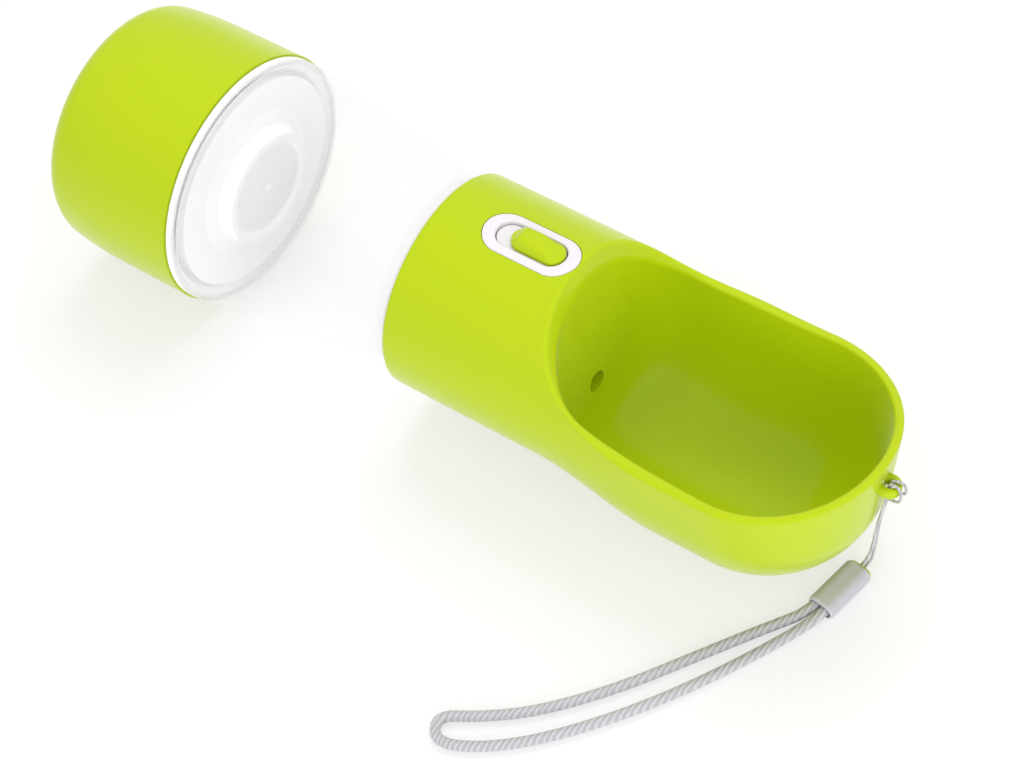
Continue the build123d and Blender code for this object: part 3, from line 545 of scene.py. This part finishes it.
def section_field(place, inset, top, top_width):
    """Distance outside the head's cross section: a round back, then a side arc tangent to it.

    The back is a circle of radius R whose lowest point is the keel. The side leaves it at an angle
    t below level and goes through (width, top) on one arc. Past the spine's front end the section
    is turned about an upright line, so the distance from that line stands for the half width.
    """
    s, y, z = place[..., 0], place[..., 1], place[..., 2]
    share = smooth((s - BOWL_START) / (BOWL_FULL - BOWL_START))
    reach = np.hypot(np.maximum(s - SPINE_FRONT, 0), y)
    radius = BARREL + (BOWL_ROUND - BARREL) * share - inset
    keel = -BARREL + (BARREL - BOWL_DEPTH / MM) * share + inset
    turn = np.radians(SIDE_TURN - SIDE_TURN_LOSS * share)
    corner_y = radius * np.cos(turn)
    corner_z = keel + radius - radius * np.sin(turn)
    spread = corner_y + SIDE_LEAN * (top - corner_z)
    run_y = top_width + (spread - top_width) * share - corner_y
    run_z = top - corner_z
    bend = -(run_y**2 + run_z**2) / (2 * (run_y * np.cos(turn) - run_z * np.sin(turn)))
    centre_y = corner_y - bend * np.cos(turn)
    centre_z = corner_z + bend * np.sin(turn)
    drop = np.abs(z - centre_z)
    width = centre_y + np.sqrt(np.maximum(bend**2 - drop**2, 0)) - np.maximum(drop - bend, 0)
    below = np.hypot(reach, z - keel - radius) - radius
    return np.where(z < corner_z, below, reach - width)


def outside_field(place):
    """Distance outside the head's outer skin."""
    return section_field(place, 0.0, OUTSIDE_TOP, OUTSIDE_TOP_WIDTH)


def cavity_field(place):
    """Distance outside the cavity: the inner section and the rear wall, joined by a soft corner.

    The softened maximum of a and b with reach k is max(a, b) + h^2 / (4 k), where h is
    max(k - |a - b|, 0).
    """
    s, y, z = place[..., 0], place[..., 1], place[..., 2]
    wall = BOWL_WALL - WALL_LOSS * smooth((s - THINNING) / THINNING_RUN)
    sides = section_field(place, wall, CAVITY_TOP, CAVITY_TOP_WIDTH)
    bow = np.sqrt(REAR_BOW**2 - np.minimum(y**2, BOW_LIMIT**2))
    back = REAR_WALL - REAR_LEAN * z + REAR_BOW - bow - s
    overlap = np.maximum(CORNER_REACH - np.abs(sides - back), 0)
    return np.maximum(sides, back) + overlap**2 / (4 * CORNER_REACH)


# %% Find the skin along straight rays
HALVINGS = 36
WALK_REACH, LEVEL_REACH = 90.0, 60.0


def walk(field, start, way):
    """Points where rays from start along way leave a field's inside, by halving the interval."""
    near = np.zeros(start.shape[:-1])
    far = np.full(start.shape[:-1], WALK_REACH)
    for _ in range(HALVINGS):
        middle = (near + far) / 2
        inside = field(start + way * middle[..., None]) < 0
        near = np.where(inside, middle, near)
        far = np.where(inside, far, middle)
    return start + way * near[..., None]


def walk_level(field, spine, turn, level):
    """Points of a field's skin at a height level(s, y), out from the spine at an angle turn."""
    near = np.zeros(len(spine))
    far = np.full(len(spine), LEVEL_REACH)

    def at(distance):
        s = spine + distance * np.cos(turn)
        y = distance * np.sin(turn)
        return np.stack([s, y, level(s, y)], axis=-1)

    for _ in range(HALVINGS):
        middle = (near + far) / 2
        inside = field(at(middle)) < 0
        near = np.where(inside, middle, near)
        far = np.where(inside, far, middle)
    return at(near)


def land_level(s, y):
    """Height of the land's inner edge: over the outer edge in the middle, under it at corners."""
    fade = 1 - 0.9 * smooth((s - LAND_FADE_AT) / LAND_FADE_RUN)
    return rim_level(s) + LAND_RISE - LAND_DIP * smooth(np.abs(y) / LAND_HALF) * fade


# %% Points of the head's skin
FAN, STRAIGHT, TURN = 90, 26, 60
spine = np.concatenate(
    [
        np.full(FAN, SPINE_BACK),
        np.linspace(SPINE_BACK, SPINE_FRONT, STRAIGHT, endpoint=False),
        np.full(TURN + 1, SPINE_FRONT),
    ]
)
turn = np.concatenate(
    [
        np.linspace(math.pi, math.pi / 2, FAN, endpoint=False),
        np.full(STRAIGHT, math.pi / 2),
        np.linspace(math.pi / 2, 0, TURN + 1),
    ]
)
outer_edge = walk_level(outside_field, spine, turn, lambda s, y: rim_level(s))
outer_start = walk_level(
    outside_field, spine, turn, lambda s, y: rim_level(s + 0.4 * RIM_ROUND) - 0.8 * RIM_ROUND
)
inner_edge = walk_level(cavity_field, spine, turn, land_level)
inner_start = walk_level(cavity_field, spine, turn, lambda s, y: land_level(s, y) - RIM_ROUND)
print("rim back, outside and inside", np.round(outer_edge[0], 2), np.round(inner_edge[0], 2))


# %% Columns of skin from the keel to the rim
OUTER_EYE, INNER_EYE = -3.0, -4.0       # heights that the rays start from
OUTER_COUNT, INNER_COUNT, ROUND_COUNT = 60, 70, 7
SOFT_SHARE = 0.46                       # most of the land that one of its two round edges may take


def column_rows(field, centre, level_way, top, count):
    """Rows of skin from the keel up to top: rays from centre, their slope rising evenly."""
    away = top - centre
    high = np.arctan2(away[:, 2], np.hypot(away[:, 0], away[:, 1]))
    slope = -math.pi / 2 + (high + math.pi / 2) * np.linspace(0, 1, count)[:, None]
    upright = np.array([0, 0, 1.0])
    way = np.cos(slope)[..., None] * level_way[None] + np.sin(slope)[..., None] * upright
    rows = walk(field, np.broadcast_to(centre, way.shape), way)
    rows[-1] = top
    return rows


def rounded(first, corner, last, count):
    """Rows along a curve (1-t)^2 first + 2t(1-t) corner + t^2 last, without its two ends."""
    t = np.linspace(0, 1, count + 2)[1:-1, None, None]
    return (1 - t) ** 2 * first + 2 * t * (1 - t) * corner + t**2 * last


flat_way = np.stack([np.cos(turn), np.sin(turn), np.zeros_like(turn)], axis=-1)
outer_way = np.where(spine[:, None] < SPINE_FRONT, np.array([0, 1.0, 0]), flat_way)
outer_s = np.where(spine < SPINE_FRONT, outer_start[:, 0], SPINE_FRONT)
outer_centre = np.stack([outer_s, 0 * spine, np.full_like(spine, OUTER_EYE)], axis=-1)
inner_centre = np.stack([spine, 0 * spine, np.full_like(spine, INNER_EYE)], axis=-1)
outer_rows = column_rows(outside_field, outer_centre, outer_way, outer_start, OUTER_COUNT)
inner_rows = column_rows(cavity_field, inner_centre, flat_way, inner_start, INNER_COUNT)
land = inner_edge - outer_edge
land_length = np.linalg.norm(land, axis=-1, keepdims=True)
soft_share = np.minimum(RIM_ROUND / land_length, SOFT_SHARE)
land_from = outer_edge + land * soft_share
land_to = inner_edge - land * soft_share
columns = np.concatenate(
    [
        outer_rows,
        rounded(outer_start, outer_edge, land_from, ROUND_COUNT),
        land_from[None],
        land_to[None],
        rounded(land_to, inner_edge, inner_start, ROUND_COUNT),
        inner_rows[::-1],
    ]
)
print("columns", columns.shape)

# %% [markdown]
# Behind the bowl the same skin goes on as a barrel: back along the outside, round its soft rear
# edge, forward along the bore and over the back of the rear wall to a closed middle.

# %% Barrel behind the bowl
EDGE = 1.2                              # the rear edge's round
EDGE_COUNT, BACK_COUNT, WALL_COUNT = 6, 16, 12
ring = outer_rows[:, 0]
ring_angle = np.arctan2(ring[:, 2], ring[:, 1])
bend_angle = np.linspace(0, math.pi / 2, EDGE_COUNT)
bore = BARREL - HEAD_WALL
back_run = np.linspace(ring[0, 0], EDGE, BACK_COUNT, endpoint=False)
barrel_s = np.concatenate([back_run, EDGE - EDGE * np.sin(bend_angle), [0.0]])
barrel_r = np.concatenate(
    [np.full(BACK_COUNT, BARREL), BARREL - EDGE + EDGE * np.cos(bend_angle), [bore]]
)
barrel_rows = np.stack(
    [
        np.broadcast_to(barrel_s[:, None], (len(barrel_s), len(ring))),
        barrel_r[:, None] * np.cos(ring_angle),
        barrel_r[:, None] * np.sin(ring_angle),
    ],
    axis=-1,
)
barrel_rows[0] = ring


def wall_back(radius):
    """Ring of the rear wall's back at a radius from the axis, one partition behind the bowl."""
    y, z = radius * np.cos(ring_angle), radius * np.sin(ring_angle)
    s = REAR_WALL - PARTITION - REAR_LEAN * z + REAR_BOW - np.sqrt(REAR_BOW**2 - y**2)
    return np.stack([s, y, z], axis=-1)


back_rows = np.stack([wall_back(radius) for radius in np.linspace(bore, 0, WALL_COUNT)])
barrel_rows = np.concatenate([barrel_rows, back_rows])
print("barrel rows", barrel_rows.shape)


# %% Grids into meshes, and Booleans
PIECE_ANGLE, JOINED_ANGLE = 40, 35      # degrees between faces over which an edge stays sharp
DOUBLES = 1e-6


def grid_faces(rows, across, start, flip):
    """Four-sided faces of a grid whose rows follow one another in the vertex list."""
    corner = np.arange(rows - 1)[:, None] * across + np.arange(across - 1)[None] + start
    after = corner + across
    faces = np.stack([corner, corner + 1, after + 1, after], axis=-1).reshape(-1, 4)
    return faces[:, ::-1] if flip else faces


def into_place(points):
    """Points of the head, in millimetres from its rear edge and axis, in metres of the object."""
    return points * MM + np.array([X_HEAD, 0, AXIS_Z])


def make_mesh(name, points, faces, material, angle=PIECE_ANGLE):
    """A mesh with its doubled points joined, faces outward, smooth but for edges over an angle."""
    data = bpy.data.meshes.new(name)
    data.from_pydata(points.tolist(), [], faces.tolist())
    work = bmesh.new()
    work.from_mesh(data)
    bmesh.ops.remove_doubles(work, verts=work.verts, dist=DOUBLES)
    bmesh.ops.recalc_face_normals(work, faces=work.faces)
    work.to_mesh(data)
    work.free()
    data.shade_smooth()
    data.set_sharp_from_angle(angle=math.radians(angle))
    data.materials.append(material)
    piece = bpy.data.objects.new(name, data)
    scene.collection.objects.link(piece)
    return piece


def join_shape(piece, tool, operation):
    """Cut a shape out of a piece, or weld it on, and keep the result as the piece's own mesh."""
    change = piece.modifiers.new("shape", "BOOLEAN")
    change.operation = operation
    change.solver = "EXACT"
    change.object = tool
    depsgraph = bpy.context.evaluated_depsgraph_get()
    result = bpy.data.meshes.new_from_object(piece.evaluated_get(depsgraph))
    piece.modifiers.remove(change)
    piece.data = result
    bpy.data.objects.remove(tool)
    result.shade_smooth()
    result.set_sharp_from_angle(angle=math.radians(JOINED_ANGLE))


# %% Join the two halves
bowl_count = columns.shape[0] * columns.shape[1]
half_points = np.concatenate([columns.reshape(-1, 3), barrel_rows.reshape(-1, 3)])
half_faces = np.concatenate(
    [
        grid_faces(columns.shape[0], columns.shape[1], 0, False),
        grid_faces(barrel_rows.shape[0], barrel_rows.shape[1], bowl_count, True),
    ]
)
mirrored = half_points * np.array([1, -1, 1])
head_points = into_place(np.concatenate([half_points, mirrored]))
head_faces = np.concatenate([half_faces, half_faces[:, ::-1] + len(half_points)])
head = make_mesh("green_head", head_points, head_faces, GREEN)
print("head points", len(head.data.vertices))

# %% [markdown]
# Three shapes change the skin: a pocket with a hole for the button's bezel, the outlet low in the
# rear wall, and the strap's lug at the tip. Each is a closed grid, and a Boolean carves or welds
# it. The holes could be left out of the grid instead, but then its rows would have to bend to them.

# %% The button's pocket and its hole
BUTTON_S = 27.4                         # the button's middle, from the head's rear edge
POCKET_LENGTH, POCKET_WIDTH = 27.8, 13.7
HOLE_LENGTH, HOLE_WIDTH = 24.5, 11.8
POCKET_FLOOR, POCKET_TOP = 28.1, 40.0
HOLE_FLOOR, HOLE_TOP = 20.0, 29.0
CUT_COUNT = 96
POINT_SHARE = 0.001                     # how far a ring shrinks to close an end


def stadium(length, width, turns):
    """Points of a slot with round ends: a straight run plus a circle of half the width."""
    around = np.linspace(0, 2 * math.pi, turns, endpoint=False)
    run = (length - width) / 2 * np.sign(np.round(np.cos(around), 9))
    return np.stack([run + width / 2 * np.cos(around), width / 2 * np.sin(around)], axis=-1)


def closed_faces(rows, across):
    """Four-sided faces of a grid that is closed round; an end ring shrunk to nearly a point closes
    that end.
    """
    corner = np.arange(rows - 1)[:, None] * across + np.arange(across)[None]
    after = np.arange(rows - 1)[:, None] * across + (np.arange(across)[None] + 1) % across
    return np.stack([corner, after, after + across, corner + across], axis=-1).reshape(-1, 4)


def prism(name, outline, low, high):
    """A block with a flat outline between two heights, each end closed by shrinking to a point."""
    rings = [
        np.column_stack([outline * share + np.array([BUTTON_S, 0]), np.full(len(outline), height)])
        for share, height in ((POINT_SHARE, low), (1, low), (1, high), (POINT_SHARE, high))
    ]
    points = into_place(np.concatenate(rings))
    return make_mesh(name, points, closed_faces(4, len(outline)), GREEN)


pocket_outline = stadium(POCKET_LENGTH, POCKET_WIDTH, CUT_COUNT)
hole_outline = stadium(HOLE_LENGTH, HOLE_WIDTH, CUT_COUNT)
join_shape(head, prism("pocket", pocket_outline, POCKET_FLOOR, POCKET_TOP), "DIFFERENCE")
join_shape(head, prism("skirt_hole", hole_outline, HOLE_FLOOR, HOLE_TOP), "DIFFERENCE")
print("head with its button hole", len(head.data.vertices))

# %% Outlet
OUTLET_DROP, OUTLET_RADIUS = 12.2, 3.1
OUTLET_BACK, OUTLET_FRONT = 40.0, 52.0
OUTLET_COUNT = 40
CLOSED_RADIUS = 0.001
around = np.linspace(0, 2 * math.pi, OUTLET_COUNT, endpoint=False)
tube_rings = [
    np.column_stack(
        [np.full(OUTLET_COUNT, at), radius * np.cos(around), -OUTLET_DROP + radius * np.sin(around)]
    )
    for at, radius in (
        (OUTLET_BACK, CLOSED_RADIUS),
        (OUTLET_BACK, OUTLET_RADIUS),
        (OUTLET_FRONT, OUTLET_RADIUS),
        (OUTLET_FRONT, CLOSED_RADIUS),
    )
]
outlet_points = into_place(np.concatenate(tube_rings))
outlet = make_mesh("outlet", outlet_points, closed_faces(len(tube_rings), OUTLET_COUNT), GREEN)
join_shape(head, outlet, "DIFFERENCE")
print("head with its outlet", len(head.data.vertices))

# %% Strap lug
# The lug is round in front and square behind, where it goes into the bowl's wall. Its outer reach
# at each angle is the circle in front, and the nearer of a side and the root behind.
LUG_HOLE, LUG_ROUND, LUG_THICK, LUG_ROOT = 1.3, 3.2, 3.0, 4.2
LUG_COUNT, PROFILE_COUNT = 64, 24
LEAST = 0.1                             # keeps the two quotients finite
SQUARENESS = 0.6
lug_s = TIP + LUG_REACH / MM - LUG_ROUND
lug_turn = np.linspace(0, 2 * math.pi, LUG_COUNT, endpoint=False)
front, side = np.cos(lug_turn), np.abs(np.sin(lug_turn))
behind = np.minimum(LUG_ROUND / np.maximum(side, LEAST), LUG_ROOT / np.maximum(-front, LEAST))
lug_out = np.where(front >= 0, LUG_ROUND, behind)
profile_turn = np.linspace(0, 2 * math.pi, PROFILE_COUNT, endpoint=False)[:, None]
half_width = (lug_out - LUG_HOLE) / 2


def squared(value):
    """A sine pushed towards its ends, so a round profile becomes a rounded square."""
    return np.sign(value) * np.abs(value) ** SQUARENESS


lug_radius = LUG_HOLE + half_width + half_width * squared(np.cos(profile_turn))
lug_points = np.stack(
    [
        lug_s + lug_radius * np.cos(lug_turn),
        lug_radius * np.sin(lug_turn),
        LUG_HEIGHT / MM + LUG_THICK / 2 * squared(np.sin(profile_turn)) + 0 * lug_radius,
    ],
    axis=-1,
)
row = np.arange(PROFILE_COUNT)[:, None] * LUG_COUNT
next_row = (np.arange(PROFILE_COUNT)[:, None] + 1) % PROFILE_COUNT * LUG_COUNT
column = np.arange(LUG_COUNT)[None]
next_column = (column + 1) % LUG_COUNT
lug_faces = np.stack(
    [row + column, row + next_column, next_row + next_column, next_row + column], axis=-1
).reshape(-1, 4)
lug = make_mesh("lug", into_place(lug_points.reshape(-1, 3)), lug_faces, GREEN)
join_shape(head, lug, "UNION")
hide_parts("head_shell")
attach(head, "head")
print("head with its openings", len(head.data.vertices))

# %% [markdown]
# ## Thumb button
# The button is a green key in a flush white bezel, and the eye finds it at once, because it is the
# only other colour on the head. Both are soft-edged mouldings with stadium outlines that follow the
# barrel's round, so each is a grid: one way goes round the outline, the other goes across the
# piece, up its outer wall, over a rounded edge, and over its top. A bevelled extrusion would also
# give them, but it would stay flat on top, and these two follow the barrel.

# %% Soft-edged stadium pieces
RING_COUNT = 120
SMALLEST = 0.01                         # a ring never shrinks to nothing
SMALL_PIECE_ANGLE = 60


def ring_on_barrel(outline, at_s, height):
    """An outline laid over the barrel's round at a height h: up = sqrt(R^2 - y^2) + h."""
    over = np.sqrt(BARREL**2 - outline[:, 1] ** 2) + height
    return np.column_stack([outline[:, 0] + at_s, outline[:, 1], over])


def inset_stadium(length, width, inward):
    """The stadium at a distance d in from another: its length and width are smaller by 2 d."""
    inner_length = max(length - 2 * inward, SMALLEST)
    inner_width = max(width - 2 * inward, SMALLEST)
    return stadium(inner_length, inner_width, RING_COUNT)


def edge_rows(inward, height, radius, up, count=ROUND_COUNT):
    """Rows of a rounded edge: a quarter circle from a wall up to the top, or back down to one."""
    turns = np.linspace(0, math.pi / 2, count)
    way = 1 if up else -1
    return [
        (inward + way * radius * (1 - math.cos(t)), height - radius + radius * math.sin(t))
        for t in turns[::way]
    ]


# %% Bezel
# The bezel is a flat frame with a skirt below it that goes through the head. Each ring is a blend
# of the outer stadium and the slot's, in the share that the row's distance in from outside gives.
BEZEL_LENGTH, BEZEL_WIDTH = 27.5, 13.4
SLOT_LENGTH, SLOT_WIDTH = 20.4, 8.4
BEZEL_PROUD, BEZEL_FOOT = 0.12, -1.8
OUTER_SOFT, SLOT_SOFT = 0.35, 0.45
SKIRT_IN, SKIRT_FOOT = 1.2, -4.5
slot_in = (BEZEL_WIDTH - SLOT_WIDTH) / 2
bezel_rows = (
    [(0.0, BEZEL_FOOT)]
    + edge_rows(0.0, BEZEL_PROUD, OUTER_SOFT, True)
    + edge_rows(slot_in, BEZEL_PROUD, SLOT_SOFT, False)
    + [(slot_in, SKIRT_FOOT), (SKIRT_IN, SKIRT_FOOT), (SKIRT_IN, BEZEL_FOOT)]
)
bezel_ring = stadium(BEZEL_LENGTH, BEZEL_WIDTH, RING_COUNT)
slot_ring = stadium(SLOT_LENGTH, SLOT_WIDTH, RING_COUNT)
bezel_rings = []
for inward, height in bezel_rows:
    share = inward / slot_in
    outline = bezel_ring * (1 - share) + slot_ring * share
    bezel_rings.append(ring_on_barrel(outline, BUTTON_S, height))
bezel_skin = np.stack(bezel_rings + bezel_rings[:1])
bezel = make_mesh(
    "white_bezel",
    into_place(bezel_skin.reshape(-1, 3)),
    closed_faces(len(bezel_skin), RING_COUNT),
    WHITE,
    SMALL_PIECE_ANGLE,
)
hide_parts("button_bezel")
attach(bezel, "head")
print("bezel points", len(bezel.data.vertices))

# %% Key with its hump
KEY_LENGTH, KEY_WIDTH = 15.4, 6.9
KEY_FOOT, KEY_PROUD = -0.95, 0.75
KEY_ROOM, KEY_SOFT = 0.35, 0.6          # room at the slot's front end, and the edge's round
TOP_FROM, TOP_LEFT, TOP_COUNT = 0.75, 0.004, 40
HUMP = 2.0
key_s = BUTTON_S + (SLOT_LENGTH - KEY_LENGTH) / 2 - KEY_ROOM
key_rows = [(0.0, KEY_FOOT)] + edge_rows(0.0, KEY_PROUD, KEY_SOFT, True)
key_rows += [
    (inward, KEY_PROUD) for inward in np.linspace(TOP_FROM, KEY_WIDTH / 2 - TOP_LEFT, TOP_COUNT)
]
key_skin = np.stack(
    [
        ring_on_barrel(inset_stadium(KEY_LENGTH, KEY_WIDTH, inward), key_s, height)
        for inward, height in key_rows
    ]
)
# The hump rises over its back ramp and falls steeply at its front, and its two sides are nearly
# upright: height = HUMP * rise(s) * (1 - |y / half|^5)^0.6, with rise going from 0 to 1 and back.
HUMP_BACK, HUMP_RAMP = -7.3, 3.2
HUMP_FRONT, HUMP_FALL = 1.4, 0.8
HUMP_HALF = KEY_WIDTH / 2 - 0.4
along = key_skin[..., 0] - key_s
rise = smooth((along - HUMP_BACK) / HUMP_RAMP) * (1 - smooth((along - HUMP_FRONT) / HUMP_FALL))
across = np.clip(1 - np.abs(key_skin[..., 1] / HUMP_HALF) ** 5, 0, 1) ** 0.6
key_skin[..., 2] += HUMP * rise * across
floor_ring = key_skin[:1].copy()
floor_ring[..., 0] = key_s + (floor_ring[..., 0] - key_s) * POINT_SHARE
floor_ring[..., 1] *= POINT_SHARE
floor_ring[..., 2] = BARREL + KEY_FOOT
key_skin = np.concatenate([floor_ring, key_skin])
key = make_mesh(
    "green_key",
    into_place(key_skin.reshape(-1, 3)),
    closed_faces(len(key_skin), RING_COUNT),
    GREEN,
    SMALL_PIECE_ANGLE,
)
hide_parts("thumb_button")
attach(key, "thumb")
print("key points", len(key.data.vertices))

# %% [markdown]
# ## Floor and light
# The photograph is taken in a white light tent: the floor and the walls are white and glow, so
# the glossy plastic goes pale at its edges. The world is that tent, and three soft lamps shape the
# light: one above, one at the near side and one ahead of the bowl. The floor is white to the camera
# through Light Path, and keeps its shadow.

# %% Floor
TABLE_HALF = 3
TABLE_DROP = 0.1 * MM                   # keeps the table just under the bottle
WHITE_SHARE = 0.62                      # how much of the floor's look is flat white to the camera
table_corners = [(-1, -1), (1, -1), (1, 1), (-1, 1)]
floor_mesh = bpy.data.meshes.new("table")
floor_mesh.from_pydata(
    [(x * TABLE_HALF, y * TABLE_HALF, 0) for x, y in table_corners], [], [(0, 1, 2, 3)]
)
floor = bpy.data.objects.new("table", floor_mesh)
scene.collection.objects.link(floor)
floor.location.z = -TABLE_DROP
floor_material = bpy.data.materials.new("white table")
floor_material.use_nodes = True
nodes, links = floor_material.node_tree.nodes, floor_material.node_tree.links
floor_shader = nodes["Principled BSDF"]
floor_shader.inputs["Base Color"].default_value = (0.93, 0.93, 0.93, 1)
floor_shader.inputs["Roughness"].default_value = 0.6
glow = nodes.new("ShaderNodeEmission")
glow.location = (0, -350)
path = nodes.new("ShaderNodeLightPath")
path.location = (-700, 500)
seen = math_node(nodes, "MAXIMUM", (-450, 450))
seen_through = math_node(nodes, "MAXIMUM", (-250, 450))
share = math_node(nodes, "MULTIPLY", (0, 450), WHITE_SHARE)
blend = nodes.new("ShaderNodeMixShader")
blend.location = (300, 200)
links.new(path.outputs["Is Camera Ray"], seen.inputs[0])
links.new(path.outputs["Is Glossy Ray"], seen.inputs[1])
links.new(seen.outputs[0], seen_through.inputs[0])
links.new(path.outputs["Is Transmission Ray"], seen_through.inputs[1])
links.new(seen_through.outputs[0], share.inputs[0])
links.new(share.outputs[0], blend.inputs["Fac"])
links.new(floor_shader.outputs[0], blend.inputs[1])
links.new(glow.outputs[0], blend.inputs[2])
links.new(blend.outputs[0], nodes["Material Output"].inputs["Surface"])
floor_mesh.materials.append(floor_material)
print("floor", floor.name, "with", len(nodes), "nodes")

# %% Tent and lamps
TENT_LIGHT = 0.72
world = bpy.data.worlds.new("tent")
scene.world = world
world.use_nodes = True
background = world.node_tree.nodes["Background"]
background.inputs["Color"].default_value = (1, 1, 1, 1)
background.inputs["Strength"].default_value = TENT_LIGHT


def soft_lamp(name, place, aim, size, power):
    """A square soft lamp at place that faces aim, and that shiny plastic doesn't mirror."""
    data = bpy.data.lights.new(name, "AREA")
    data.size = size
    data.energy = power
    lamp = bpy.data.objects.new(name, data)
    scene.collection.objects.link(lamp)
    lamp.location = place
    lamp.rotation_euler = (Vector(aim) - Vector(place)).to_track_quat("-Z", "Y").to_euler()
    lamp.visible_glossy = False


soft_lamp("top lamp", place=(-0.15, 0.35, 0.8), aim=(0.05, 0, 0), size=0.5, power=3.2)
soft_lamp("near panel", place=(0.1, -0.9, 0.25), aim=(0.0, 0, 0.03), size=0.9, power=3.0)
soft_lamp("front panel", place=(0.8, -0.3, 0.3), aim=(-0.05, 0, 0.03), size=0.7, power=2.5)
scene.view_settings.view_transform = "Standard"
